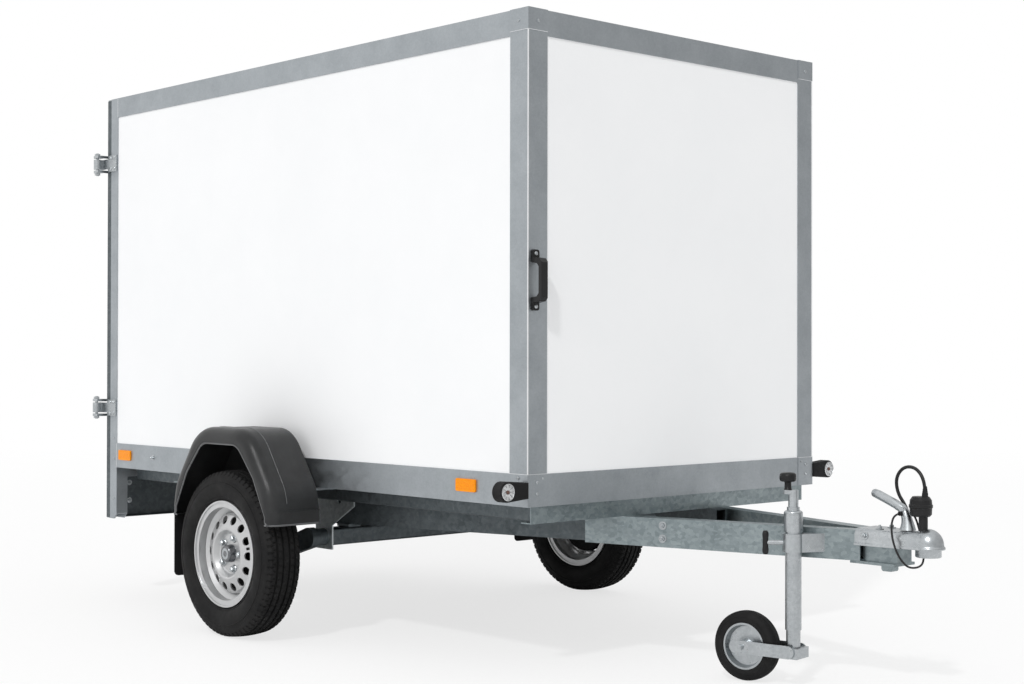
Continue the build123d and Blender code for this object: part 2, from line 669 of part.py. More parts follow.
with BuildPart() as mud_flaps:
    flap_front = GUARD_X - GUARD_HALF
    flap_y = (GUARD_IN + FLAP, GUARD_OUT - GUARD_SHOULDER / 2)
    block((flap_front - FLAP, flap_front), flap_y, (GUARD_BOTTOM - FLAP_DROP, GUARD_BOTTOM + 43))
    fillet(mud_flaps.edges().filter_by(Axis.X).group_by(Axis.Z)[0], FLAP_CORNER)
    mirror(about=Plane.XZ)
save(mud_flaps, "mud_flaps")

# Road wheels
TREAD_HALF = TYRE_WIDTH / 2 - 21.5
SHOULDER_R = TYRE_R - 17
DISC_CROWN = DISC_FACE + 22
RIM_FLANGE_R = RIM_SEAT_R + RIM_FLANGE
RIM_LIP_R = RIM_FLANGE_R - 6
WELL_R = RIM_SEAT_R - RIM_WELL
SEAT_IN_R = RIM_SEAT_R - RIM_SHEET
RIM_BACK = BEAD_HALF + RIM_SHEET
RIM_SECTION = [
    (-RIM_HALF, RIM_LIP_R), (-RIM_HALF, RIM_FLANGE_R), (-BEAD_HALF, RIM_FLANGE_R), (-BEAD_HALF, RIM_SEAT_R),
    (-40, RIM_SEAT_R), (-26, WELL_R), (18, WELL_R), (34, RIM_SEAT_R),
    (BEAD_HALF, RIM_SEAT_R), (BEAD_HALF, RIM_FLANGE_R), (RIM_HALF, RIM_FLANGE_R), (RIM_HALF, RIM_LIP_R),
    (RIM_BACK, RIM_LIP_R), (RIM_BACK, SEAT_IN_R), (32, SEAT_IN_R), (16, WELL_R - RIM_SHEET),
    (-28, WELL_R - RIM_SHEET), (-42, SEAT_IN_R), (-RIM_BACK, SEAT_IN_R), (-RIM_BACK, RIM_LIP_R),
]
DISC_R = WELL_R - RIM_SHEET
DISC_SECTION = [
    (2, DISC_R), (12, DISC_R), (DISC_FACE - 6, DISC_R - 3), (DISC_FACE + 4, DISC_R - 10),
    (DISC_CROWN - 2, DISC_R - 48), (DISC_CROWN, DISC_R - 54), (DISC_CROWN - 2, DISC_R - 60),
    (DISC_FACE + 3, DISC_R - 71), (DISC_FACE, DISC_R - 75), (DISC_FACE, DISC_BORE_R),
    (DISC_FACE - RIM_SHEET, DISC_BORE_R), (DISC_FACE - RIM_SHEET, DISC_R - 72), (DISC_FACE, DISC_R - 67),
    (DISC_CROWN - 7, DISC_R - 57), (DISC_CROWN - 4.5, DISC_R - 54), (DISC_CROWN - 6.5, DISC_R - 49),
    (DISC_FACE - 1, DISC_R - 12), (DISC_FACE - 9, DISC_R - 7.5), (10, DISC_R - 4.5), (2, DISC_R - 4),
]
DISC_HOLE_CIRCLE_R = DISC_R - 25
HUB_SECTION = [
    (-HUB_LENGTH, HUB_R), (DISC_FACE - 12, HUB_R), (DISC_FACE - 12, HUB_FLANGE_R),
    (DISC_FACE - RIM_SHEET, HUB_FLANGE_R), (DISC_FACE - RIM_SHEET, DISC_BORE_R - 1),
    (DISC_FACE + 18, DISC_BORE_R - 2), (DISC_FACE + 27, DISC_BORE_R - 9), (DISC_FACE + 27, 0),
    (DISC_FACE + 5, 0), (DISC_FACE + 5, STUB_R + RUNNING), (-HUB_LENGTH, STUB_R + RUNNING),
]
WHEEL_AXIS = Axis((AXLE_X, 0, TYRE_R), (0, 1, 0))

for name, side in SIDES:
    wheel_centre = (AXLE_X, side * WHEEL_Y, TYRE_R)
    section_plane = Plane(origin=wheel_centre, x_dir=(0, side, 0), z_dir=(side, 0, 0))
    face_plane = Plane(origin=wheel_centre, x_dir=(1, 0, 0), z_dir=(0, side, 0))
    with BuildPart() as tyre:
        with BuildSketch(section_plane):
            with BuildLine():
                for out in (-1, 1):
                    wall_mid = (out * TYRE_WIDTH / 2, (RIM_FLANGE_R + SHOULDER_R) / 2)
                    Line((out * BEAD_HALF, RIM_SEAT_R), (out * BEAD_HALF, RIM_FLANGE_R))
                    shoulder = (out * (TREAD_HALF + 9), SHOULDER_R)
                    ThreePointArc((out * BEAD_HALF, RIM_FLANGE_R), wall_mid, shoulder)
                    Line((out * (TREAD_HALF + 9), SHOULDER_R), (out * TREAD_HALF, TYRE_R - 4))
                    Polyline(
                        (out * BEAD_HALF, RIM_SEAT_R),
                        (out * (BEAD_HALF - 10), RIM_SEAT_R),
                        (out * (BEAD_HALF - 10), RIM_FLANGE_R),
                        (out * (TYRE_WIDTH / 2 - 10), wall_mid[1]),
                        (out * (TREAD_HALF - 8), TYRE_R - 16),
                    )
                ThreePointArc((-TREAD_HALF, TYRE_R - 4), (0, TYRE_R), (TREAD_HALF, TYRE_R - 4))
                Line((8 - TREAD_HALF, TYRE_R - 16), (TREAD_HALF - 8, TYRE_R - 16))
            make_face()
        revolve(axis=WHEEL_AXIS)
    save(tyre, f"tyre_{name}")

    with BuildPart() as rim:
        for section in (RIM_SECTION, DISC_SECTION):
            with BuildSketch(section_plane):
                with BuildLine():
                    Polyline(*section, close=True)
                make_face()
            revolve(axis=WHEEL_AXIS)
        with BuildSketch(face_plane):
            with PolarLocations(DISC_HOLE_CIRCLE_R, DISC_HOLES):
                Circle(DISC_HOLE_R)
            with PolarLocations(BOLT_CIRCLE_R, BOLTS):
                Circle(BOLT_R)
        extrude(amount=RIM_HALF, mode=Mode.SUBTRACT)
    save(rim, f"rim_{name}")

    with BuildPart() as hub:
        with BuildSketch(section_plane):
            with BuildLine():
                Polyline(*HUB_SECTION, close=True)
            make_face()
        revolve(axis=WHEEL_AXIS)
        with BuildSketch(face_plane.offset(DISC_FACE)):
            with PolarLocations(BOLT_CIRCLE_R, BOLTS):
                RegularPolygon(radius=10, side_count=6)
        extrude(amount=13)
        with BuildSketch(face_plane.offset(DISC_FACE - RIM_SHEET)):
            with PolarLocations(BOLT_CIRCLE_R, BOLTS):
                Circle(BOLT_R)
        extrude(amount=RIM_SHEET + 2)
    save(hub, f"hub_{name}")

# Coupling
with BuildPart() as coupling_nose:
    block((ARM_TIP, BALL_X - 80), (-NOSE_HALF, NOSE_HALF), (ARM_BOTTOM, ARM_TOP))
    block((ARM_TIP - 35, BALL_X - 80), (-52, 52), (ARM_BOTTOM - NOSE_PLATE, ARM_BOTTOM))
    block((BALL_X - 150, BALL_X - 110), (-14, 14), (ARM_BOTTOM - NOSE_PLATE - 20, ARM_BOTTOM - NOSE_PLATE))
    fillet(coupling_nose.edges().filter_by(Axis.Y).group_by(Axis.Z)[0], 8)
save(coupling_nose, "coupling_nose")

with BuildPart() as coupling_body:
    with BuildSketch(Plane.XY.offset(SHELL_BOTTOM)):
        with Locations((SHELL_REAR + 20, 0)):
            Rectangle(40, 2 * SHELL_HALF)
        with Locations((BALL_X, 0)):
            Circle(DOME_R)
        make_hull()
    extrude(amount=SHELL_TOP - SHELL_BOTTOM)
    fillet(coupling_body.faces().sort_by(Axis.Z)[-1].edges().sort_by(Axis.X)[1:], SHELL_CORNER)
    with BuildSketch(Plane.XY.offset(SHELL_BOTTOM)):
        with Locations((SHELL_REAR + 20, 0)):
            Rectangle(40, 2 * (SHELL_HALF + RIM_LIP))
        with Locations((BALL_X, 0)):
            Circle(DOME_R + RIM_LIP)
        make_hull()
    extrude(amount=RIM_LIP_HEIGHT)
    with Locations((BALL_X, 0, DOME_Z)):
        Sphere(DOME_R)
    rod((BALL_X, 0, DOME_BOTTOM), (BALL_X, 0, DOME_Z), CUP_R)
    block((BALL_X - 80, BALL_X + 80), (-80, 80), (DOME_BOTTOM - 80, DOME_BOTTOM), Mode.SUBTRACT)
    with BuildSketch(Plane.XY.offset(SHELL_BOTTOM)):
        with BuildLine():
            shell_inner = SHELL_HALF - SHELL
            Polyline(
                (SHELL_REAR, -shell_inner),
                (SHELL_REAR + 40, -shell_inner),
                (BALL_X - 60, -NOSE_HALF - 2),
                (BALL_X - 60, NOSE_HALF + 2),
                (SHELL_REAR + 40, shell_inner),
                (SHELL_REAR, shell_inner),
                close=True,
            )
        make_face()
    extrude(amount=SHELL_TOP - SHELL - SHELL_BOTTOM, mode=Mode.SUBTRACT)
    with Locations((BALL_X, 0, SOCKET_Z)):
        Sphere(SOCKET_R, mode=Mode.SUBTRACT)
    rod((BALL_X, 0, DOME_BOTTOM), (BALL_X, 0, SOCKET_Z), SOCKET_R, Mode.SUBTRACT)
save(coupling_body, "coupling_body")

HANDLE_WIDTH = 28
HANDLE_OUTLINE = [
    (103, 0), (153, 0), (144, 28), (133, 73), (30, 118), (10, 110), (7, 94), (22, 82), (97, 52), (111, 31),
]
with BuildPart() as coupling_handle:
    with BuildSketch(Plane(origin=(ARM_TIP, 0, SHELL_TOP), x_dir=(1, 0, 0), z_dir=(0, -1, 0))) as lever:
        with BuildLine():
            Polyline(*HANDLE_OUTLINE, close=True)
        make_face()
        fillet(lever.vertices().sort_by(Axis.X)[:3], 6)
        fillet(lever.vertices().sort_by(Axis.Y)[2:6], 8)
        with Locations((119, 58)):
            Circle(5, mode=Mode.SUBTRACT)
    extrude(amount=HANDLE_WIDTH / 2, both=True)
save(coupling_handle, "coupling_handle")

PLUG_X = ARM_TIP + 173
PLUG_R = 32
PLUG_BOTTOM = SHELL_TOP + 43
PLUG_HEIGHT = 57
GLAND_X = PLUG_X + 14
GLAND_R = 9
GLAND = 6
PLUG_SECTION = [
    (0, 0), (PLUG_R - 6, 0), (PLUG_R - 1, 6), (PLUG_R, 24), (PLUG_R + 2, 26), (PLUG_R + 2, 33), (PLUG_R, 35),
    (PLUG_R - 1, 47), (PLUG_R - 8, PLUG_HEIGHT), (0, PLUG_HEIGHT),
]
with BuildPart() as plug:
    with BuildSketch(Plane(origin=(PLUG_X, 0, PLUG_BOTTOM), x_dir=(1, 0, 0), z_dir=(0, -1, 0))):
        with BuildLine():
            Polyline(*PLUG_SECTION, close=True)
        make_face()
    revolve(axis=Axis((PLUG_X, 0, 0), (0, 0, 1)))
    plug_top = PLUG_BOTTOM + PLUG_HEIGHT
    rod((GLAND_X, 0, plug_top - 2), (GLAND_X, 0, plug_top + GLAND), GLAND_R)
save(plug, "plug")

with BuildPart() as plug_holder:
    rod((PLUG_X + 8, 0, DOME_Z), (PLUG_X + 8, 0, PLUG_BOTTOM), 13)
    with Locations((BALL_X, 0, DOME_Z)):
        Sphere(DOME_R, mode=Mode.SUBTRACT)
    block((SHELL_REAR, BALL_X), (-30, 30), (DOME_BOTTOM, SHELL_TOP), Mode.SUBTRACT)
save(plug_holder, "plug_holder")

# Jockey wheel
def jockey_rod(low, high, radius, mode=Mode.ADD):
    """An upright round bar on the jockey leg's axis."""
    rod((JOCKEY_X, JOCKEY_Y, low), (JOCKEY_X, JOCKEY_Y, high), radius, mode)


with BuildPart() as jockey_tube:
    jockey_rod(JOCKEY_TUBE_BOTTOM, JOCKEY_TUBE_TOP, JOCKEY_TUBE_R)
    jockey_rod(JOCKEY_TUBE_TOP - 62, JOCKEY_TUBE_TOP, JOCKEY_TUBE_R + 4)
    fillet(jockey_tube.edges().group_by(Axis.Z)[-1], 8)
    jockey_rod(JOCKEY_TUBE_BOTTOM, JOCKEY_TUBE_TOP - 15, LEG_R + RUNNING, Mode.SUBTRACT)
save(jockey_tube, "jockey_tube")

crank_z = JOCKEY_TUBE_TOP + 48
knob_x = JOCKEY_X - CRANK_OFFSET
with BuildPart() as jockey_crank:
    jockey_rod(JOCKEY_TUBE_TOP, crank_z, CRANK_R)
    jockey_rod(JOCKEY_TUBE_TOP, JOCKEY_TUBE_TOP + 10, CRANK_R + 4)
    with BuildSketch(Plane.XY.offset(crank_z)):
        with Locations(((JOCKEY_X + knob_x) / 2, JOCKEY_Y)):
            SlotCenterToCenter(CRANK_OFFSET, 2 * CRANK_R)
    extrude(amount=CRANK_ARM)
save(jockey_crank, "jockey_crank")

with BuildPart() as jockey_knob:
    rod((knob_x, JOCKEY_Y, crank_z + CRANK_ARM), (knob_x, JOCKEY_Y, crank_z + KNOB_NECK), CRANK_R - 3)
    with BuildSketch(Plane.XY.offset(crank_z + KNOB_NECK)):
        with Locations((knob_x, JOCKEY_Y)):
            Circle(KNOB_R - 5)
            with PolarLocations(KNOB_R - 7, 6):
                Circle(7)
    extrude(amount=KNOB_HEIGHT)
    fillet(jockey_knob.faces().sort_by(Axis.Z)[-1].edges(), 3)
save(jockey_knob, "jockey_knob")

with BuildPart() as jockey_clamp:
    with BuildSketch(Plane.XY.offset(CLAMP_BOTTOM)):
        with BuildLine():
            Polyline(
                (JOCKEY_X + 62, -arm_face(JOCKEY_X + 62)),
                (JOCKEY_X - 62, -arm_face(JOCKEY_X - 62)),
                (JOCKEY_X - CLAMP_R, JOCKEY_Y),
                (JOCKEY_X + CLAMP_R, JOCKEY_Y),
                close=True,
            )
        make_face()
        with Locations((JOCKEY_X, JOCKEY_Y)):
            Circle(CLAMP_R)
            Circle(JOCKEY_TUBE_R, mode=Mode.SUBTRACT)
    extrude(amount=CLAMP_HEIGHT)
    clamp_mid = CLAMP_BOTTOM + CLAMP_HEIGHT / 2
    tee = (JOCKEY_X - 58, JOCKEY_Y - 58)
    rod((JOCKEY_X - 19, JOCKEY_Y - 19, clamp_mid), (*tee, clamp_mid), 7)
    rod((*tee, clamp_mid - 34), (*tee, clamp_mid + 34), 6)
save(jockey_clamp, "jockey_clamp")

with BuildPart() as jockey_leg:
    jockey_rod(LEG_BOTTOM, LEG_TOP, LEG_R)
    jockey_rod(LEG_BOTTOM, LEG_BOTTOM + SPIGOT, SPIGOT_R + RUNNING, Mode.SUBTRACT)
    jockey_rod(LEG_BOTTOM + SPIGOT, LEG_TOP, LEG_R - LEG_WALL, Mode.SUBTRACT)
save(jockey_leg, "jockey_leg")

swivel = radians(JOCKEY_SWIVEL)
fork_plane = Plane(origin=(JOCKEY_X, JOCKEY_Y, 0), x_dir=(-cos(swivel), -sin(swivel), 0), z_dir=(0, 0, 1))
hub_point = fork_plane.from_local_coords((JOCKEY_TRAIL, 0, JOCKEY_WHEEL_R))
castor_plane = Plane(origin=hub_point, x_dir=fork_plane.x_dir, z_dir=fork_plane.y_dir)
castor_section = Plane(origin=hub_point, x_dir=fork_plane.y_dir, z_dir=fork_plane.x_dir)
castor_axis = Axis(hub_point, fork_plane.y_dir)
fork_bottom = JOCKEY_WHEEL_R - FORK_HEIGHT / 2

with BuildPart() as jockey_fork:
    jockey_rod(fork_bottom, FORK_TOP, LEG_R + 5)
    jockey_rod(fork_bottom, LEG_BOTTOM + SPIGOT - 2, SPIGOT_R)
    for side in (-1, 1):
        with BuildSketch(castor_plane.offset(side * (FORK_IN + FORK_SHEET / 2))):
            with Locations((8 - JOCKEY_TRAIL / 2, 0)):
                SlotOverall(JOCKEY_TRAIL + 62, FORK_HEIGHT)
        extrude(amount=FORK_SHEET / 2, both=True)
    with BuildSketch(fork_plane.offset(fork_bottom)):
        with Locations((-7, 0)):
            Rectangle(48, 2 * FORK_IN)
    extrude(amount=FORK_TOP - fork_bottom)
    with BuildSketch(castor_plane.offset(-FORK_IN - FORK_SHEET - 8)):
        Circle(JOCKEY_PIN_R)
    extrude(amount=2 * (FORK_IN + FORK_SHEET + 8))
save(jockey_fork, "jockey_fork")

RIM_BAND = JOCKEY_WHEEL_WIDTH / 2 - 5
JOCKEY_RIM_SECTION = mirrored([
    (RIM_BAND, JOCKEY_RIM_R),
    (RIM_BAND, JOCKEY_RIM_R - 6),
    (6, JOCKEY_RIM_R - 12),
    (6, 22),
    (FORK_IN - 4, 18),
    (FORK_IN - 4, JOCKEY_PIN_R + RUNNING),
])
with BuildPart() as jockey_rim:
    with BuildSketch(castor_section):
        with BuildLine():
            Polyline(*JOCKEY_RIM_SECTION, close=True)
        make_face()
    revolve(axis=castor_axis)
save(jockey_rim, "jockey_rim")

with BuildPart() as jockey_tyre:
    with BuildSketch(castor_section) as section:
        with Locations((0, (JOCKEY_WHEEL_R + JOCKEY_RIM_R) / 2)):
            Rectangle(JOCKEY_WHEEL_WIDTH, JOCKEY_WHEEL_R - JOCKEY_RIM_R)
        fillet(section.vertices().group_by(Axis.Y)[-1], 16)
    revolve(axis=castor_axis)
save(jockey_tyre, "jockey_tyre")

# Lead and safety cable
LEAD_R = 5
LEAD_STEPS = [
    (187, 0, 106),
    (187, 0, 149.5),
    (154, 4, 182),
    (108, 12, 182),
    (75, 20, 149.5),
    (75, 28, 103),
    (100, 33, 67),
    (111, 35, 34),
    (111, 35, 0),
]
CABLE_R = 3
CABLE_HALF = [
    (115, -14, 48),
    (115, -40, 48),
    (116, -62, 29),
    (122, -71, -8),
    (133, -71, -46),
    (145, -60, -80),
    (155, -32, -106),
]
CABLE_STEPS = CABLE_HALF + [(x, -y, z) for x, y, z in reversed(CABLE_HALF)]

for name, steps, radius in (("lead", LEAD_STEPS, LEAD_R), ("safety_cable", CABLE_STEPS, CABLE_R)):
    route = [(ARM_TIP + x, y, SHELL_TOP + z) for x, y, z in steps]
    radii = cord_radii(route)
    print(name, "bend radii", [round(value) for value in radii])
    with BuildPart() as cord:
        with BuildLine() as path:
            FilletPolyline(*route, radius=radii)
        with BuildSketch(Plane(origin=path.line @ 0, z_dir=path.line % 0)):
            Circle(radius)
        sweep()
    save(cord, name)
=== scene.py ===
"""Looks of the single-axle box trailer: materials, tyre tread, fasteners, lamps, cords, light and camera."""
import json
import math

import bpy
from mathutils import Matrix, Vector


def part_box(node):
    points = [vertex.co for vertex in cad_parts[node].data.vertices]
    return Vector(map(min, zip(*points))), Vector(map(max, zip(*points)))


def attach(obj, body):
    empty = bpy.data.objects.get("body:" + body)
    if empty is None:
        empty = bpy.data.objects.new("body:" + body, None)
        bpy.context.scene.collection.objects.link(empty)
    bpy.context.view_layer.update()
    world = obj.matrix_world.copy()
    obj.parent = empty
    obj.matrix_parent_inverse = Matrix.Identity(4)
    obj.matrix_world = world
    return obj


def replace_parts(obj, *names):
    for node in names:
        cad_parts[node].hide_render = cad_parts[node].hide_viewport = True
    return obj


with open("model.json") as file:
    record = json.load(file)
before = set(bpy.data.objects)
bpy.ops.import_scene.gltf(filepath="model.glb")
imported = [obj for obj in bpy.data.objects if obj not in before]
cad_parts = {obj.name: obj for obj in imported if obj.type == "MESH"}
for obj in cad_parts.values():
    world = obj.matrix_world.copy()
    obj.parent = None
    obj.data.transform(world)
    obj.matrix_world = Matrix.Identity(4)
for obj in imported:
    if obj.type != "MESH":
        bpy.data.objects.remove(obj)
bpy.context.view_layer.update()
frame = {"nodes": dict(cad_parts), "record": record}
nodes = frame["nodes"]

# Sections of the fasteners as (radius, height), in parts of their size
WASHER = [(0, 0), (1.05, 0), (1.1, 0.06), (1.05, 0.14), (0, 0.14)]
HEXAGON = [(0, 0.14), (0.6, 0.14), (0.64, 0.2), (0.64, 0.62), (0.54, 0.7), (0, 0.72)]
RIVET = [(0, 0), (1, 0), (1, 0.18), (0.86, 0.42), (0.6, 0.56), (0.34, 0.6), (0.3, 0.48), (0, 0.46)]
DOME = [(0, 0), (1, 0), (1, 0.14), (0.8, 0.36), (0.45, 0.5), (0, 0.55)]


# Mesh building
def placed(name, data):
    """A new object in the scene."""
    obj = bpy.data.objects.new(name, data)
    bpy.context.scene.collection.objects.link(obj)
    return obj


def bands(size, count):
    """Faces between successive closed rings of vertices."""
    faces = []
    for start in range(0, size * (count - 1), size):
        for k in range(size):
            m = (k + 1) % size
            faces.append([start + k, start + m, start + size + m, start + size + k])
    return faces


def closed_bands(size, count):
    """The same faces, with the first and the last ring closed."""
    ends = [list(range(size))[::-1], list(range(size * (count - 1), size * count))]
    return ends + bands(size, count)


class Shape:
    """Vertices and faces of one piece, gathered from simple forms."""

    def __init__(self):
        self.verts = []
        self.faces = []

    def add(self, verts, faces):
        start = len(self.verts)
        self.verts.extend(verts)
        self.faces.extend([[start + i for i in face] for face in faces])

    def lathe(self, profile, origin, axis, count=24, scale=1.0):
        """Turns (radius, height) pairs round an axis. A radius of 0 closes that end."""
        turn = Vector(axis).to_track_quat("Z", "Y").to_matrix()
        rings = []
        verts = []
        for radius, height in profile:
            spokes = count if radius else 1
            rings.append(range(len(verts), len(verts) + spokes))
            for i in range(spokes):
                a = 2 * math.pi * i / count
                spoke = Vector((radius * math.cos(a), radius * math.sin(a), height))
                verts.append(Vector(origin) + turn @ (scale * spoke))
        faces = []
        for low, high in zip(rings, rings[1:]):
            for i in range(count):
                j = (i + 1) % count
                if len(low) == 1:
                    faces.append([high[i], high[j], low[0]])
                elif len(high) == 1:
                    faces.append([low[i], low[j], high[0]])
                else:
                    faces.append([low[i], low[j], high[j], high[i]])
        self.add(verts, faces)

    def slab(self, low, high, edge):
        """A box with bevelled edges between two corners."""
        low = Vector(low)
        high = Vector(high)
        verts = []
        for z, inset in ((low.z, edge), (low.z + edge, 0), (high.z - edge, 0), (high.z, edge)):
            x0, y0, x1, y1 = low.x + inset, low.y + inset, high.x - inset, high.y - inset
            verts += [
                (x0 + edge, y0, z), (x1 - edge, y0, z), (x1, y0 + edge, z), (x1, y1 - edge, z),
                (x1 - edge, y1, z), (x0 + edge, y1, z), (x0, y1 - edge, z), (x0, y0 + edge, z),
            ]
        self.add([Vector(v) for v in verts], closed_bands(8, 4))

    def tube(self, path, radii, count=10):
        """A round bar along a line of points, with a radius for each, closed at both ends."""
        points = [Vector(point) for point in path]
        runs = [(b - a).normalized() for a, b in zip(points, points[1:])]
        across = runs[0].orthogonal().normalized()
        verts = []
        for i, (point, radius) in enumerate(zip(points, radii)):
            along = (runs[max(i - 1, 0)] + runs[min(i, len(runs) - 1)]).normalized()
            across = (across - along * across.dot(along)).normalized()
            other = along.cross(across)
            for k in range(count):
                a = 2 * math.pi * k / count
                verts.append(point + radius * (math.cos(a) * across + math.sin(a) * other))
        self.add(verts, closed_bands(count, len(points)))

    def bolt(self, origin, axis, size, thread):
        """A washer, a chamfered hexagon head and the end of its thread."""
        self.lathe(WASHER, origin, axis, 20, size)
        self.lathe(HEXAGON, origin, axis, 6, size)
        end = 0.7 * size + thread
        stem = 0.32 * size
        self.lathe([(stem, 0.6 * size), (stem, end - 0.001), (0.25 * size, end), (0, end)], origin, axis, 14)

    def rivet(self, origin, axis, radius):
        """A domed head with a pulled stem in its middle."""
        self.lathe(RIVET, origin, axis, 16, radius)

    def dome(self, origin, axis, radius):
        """A round carriage-bolt head."""
        self.lathe(DOME, origin, axis, 18, radius)

    def piece(self, name, material, body, sharp=35):
        """Makes the object, with smooth shading up to the given angle, and lets it ride on a body."""
        mesh = bpy.data.meshes.new(name)
        mesh.from_pydata(self.verts, [], self.faces)
        mesh.validate()
        mesh.shade_smooth()
        mesh.set_sharp_from_angle(angle=math.radians(sharp))
        mesh.materials.append(material)
        obj = placed(name, mesh)
        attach(obj, body)
        return obj


# Shader building
def shader(name, color, roughness, metallic=0.0):
    material = bpy.data.materials.new(name)
    material.use_nodes = True
    bsdf = material.node_tree.nodes["Principled BSDF"]
    bsdf.inputs["Base Color"].default_value = (*color, 1)
    bsdf.inputs["Roughness"].default_value = roughness
    bsdf.inputs["Metallic"].default_value = metallic
    return material, material.node_tree, bsdf


def coordinates(tree, stretch=(1, 1, 1)):
    place = tree.nodes.new("ShaderNodeTexCoord")
    mapping = tree.nodes.new("ShaderNodeMapping")
    mapping.inputs["Scale"].default_value = stretch
    tree.links.new(place.outputs["Object"], mapping.inputs["Vector"])
    return mapping.outputs["Vector"]


def noise(tree, where, scale, detail=4.0, roughness=0.55):
    node = tree.nodes.new("ShaderNodeTexNoise")
    node.inputs["Scale"].default_value = scale
    node.inputs["Detail"].default_value = detail
    node.inputs["Roughness"].default_value = roughness
    tree.links.new(where, node.inputs["Vector"])
    return node.outputs["Fac"]


def cells(tree, where, scale, output="Color", kind="EUCLIDEAN"):
    node = tree.nodes.new("ShaderNodeTexVoronoi")
    node.distance = kind
    node.inputs["Scale"].default_value = scale
    tree.links.new(where, node.inputs["Vector"])
    return node.outputs[output]


def ramp(tree, value, first, last):
    """A colour that runs from one (position, colour) stop to another."""
    node = tree.nodes.new("ShaderNodeValToRGB")
    for element, (position, color) in zip(node.color_ramp.elements, (first, last)):
        element.position = position
        element.color = (*color, 1)
    tree.links.new(value, node.inputs["Fac"])
    return node.outputs["Color"]


def mixed(tree, share, first, second):
    node = tree.nodes.new("ShaderNodeMix")
    node.data_type = "RGBA"
    node.inputs["Factor"].default_value = share
    tree.links.new(first, node.inputs["A"])
    tree.links.new(second, node.inputs["B"])
    return node.outputs["Result"]


def spread(tree, value, low, high):
    """Stretches the middle of a noise over a range."""
    node = tree.nodes.new("ShaderNodeMapRange")
    node.inputs["From Min"].default_value = 0.3
    node.inputs["From Max"].default_value = 0.7
    node.inputs["To Min"].default_value = low
    node.inputs["To Max"].default_value = high
    tree.links.new(value, node.inputs["Value"])
    return node.outputs["Result"]


def coated(tree, bsdf, color, roughness):
    tree.links.new(color, bsdf.inputs["Base Color"])
    tree.links.new(roughness, bsdf.inputs["Roughness"])


def bump(tree, bsdf, height, strength, distance, under=None):
    node = tree.nodes.new("ShaderNodeBump")
    node.inputs["Strength"].default_value = strength
    node.inputs["Distance"].default_value = distance
    tree.links.new(height, node.inputs["Height"])
    if under is not None:
        tree.links.new(under, node.inputs["Normal"])
    tree.links.new(node.outputs["Normal"], bsdf.inputs["Normal"])
    return node.outputs["Normal"]


# Materials
def zinc(name, dark, light, cell, rough, stretch=(1, 1, 1), cell_strength=0.55):
    """Zinc-coated steel: crystal cells of differing brightness under a cloudy film."""
    material, tree, bsdf = shader(name, light, rough[0], 1.0)
    where = coordinates(tree, stretch)
    crystals = ramp(tree, cells(tree, where, cell), (0.15, dark), (0.85, light))
    clouds = ramp(tree, noise(tree, where, 9.0, 6.0, 0.62), (0.3, dark), (0.7, light))
    grain = ramp(tree, noise(tree, where, 520.0, 3.0), (0.3, dark), (0.7, light))
    film = mixed(tree, cell_strength, clouds, crystals)
    coated(tree, bsdf, mixed(tree, 0.25, film, grain), spread(tree, noise(tree, where, 34.0, 5.0), *rough))
    fine = bump(tree, bsdf, noise(tree, where, 700.0, 2.0), 0.06, 0.0006)
    bump(tree, bsdf, noise(tree, where, 22.0, 3.0), 0.05, 0.002, fine)
    return material


def moulded(name, color, rough, grain, depth, gloss):
    """Black moulded plastic or rubber with a fine pebbled skin and light dust."""
    pale = tuple(1.9 * c + 0.004 for c in color)
    material, tree, bsdf = shader(name, color, rough[0])
    bsdf.inputs["Specular IOR Level"].default_value = gloss
    where = coordinates(tree)
    dust = ramp(tree, noise(tree, where, 7.0, 7.0, 0.65), (0.35, color), (0.75, pale))
    coated(tree, bsdf, dust, spread(tree, noise(tree, where, 18.0, 5.0), *rough))
    skin = bump(tree, bsdf, cells(tree, where, grain, "Distance"), 0.35, depth)
    bump(tree, bsdf, noise(tree, where, 40.0, 2.0), 0.04, 0.002, skin)
    return material


def lens(name, color, deep, prism):
    """Moulded lens plastic over a field of small prisms."""
    material, tree, bsdf = shader(name, color, 0.3)
    bsdf.inputs["Specular IOR Level"].default_value = 0.15
    bsdf.inputs["Coat Weight"].default_value = 0.1
    bsdf.inputs["Coat Roughness"].default_value = 0.1
    facets = cells(tree, coordinates(tree), prism, "Distance", "CHEBYCHEV")
    tree.links.new(ramp(tree, facets, (0.05, color), (0.6, deep)), bsdf.inputs["Base Color"])
    bump(tree, bsdf, facets, 0.5, 0.0012)
    return material


def faced_board():
    """White faced board, nearly even in tone and gloss."""
    material, tree, bsdf = shader("white_panel", (0.93, 0.94, 0.95), 0.3)
    where = coordinates(tree)
    clouds = noise(tree, where, 2.2, 5.0, 0.6)
    tone = ramp(tree, clouds, (0.3, (0.915, 0.925, 0.935)), (0.7, (0.945, 0.952, 0.96)))
    coated(tree, bsdf, tone, spread(tree, noise(tree, where, 12.0, 3.0), 0.30, 0.35))
    bump(tree, bsdf, noise(tree, where, 260.0, 2.0), 0.02, 0.0003)
    return material


def plywood():
    """Dark faced plywood with a mesh print for grip."""
    material, tree, bsdf = shader("floor_board", (0.05, 0.046, 0.036), 0.45)
    grain = noise(tree, coordinates(tree, (1, 6, 1)), 7.0, 8.0, 0.66)
    tone = ramp(tree, grain, (0.3, (0.036, 0.034, 0.026)), (0.7, (0.075, 0.068, 0.05)))
    coated(tree, bsdf, tone, spread(tree, grain, 0.38, 0.6))
    bump(tree, bsdf, cells(tree, coordinates(tree), 260.0, "Distance", "CHEBYCHEV"), 0.3, 0.0006)
    return material


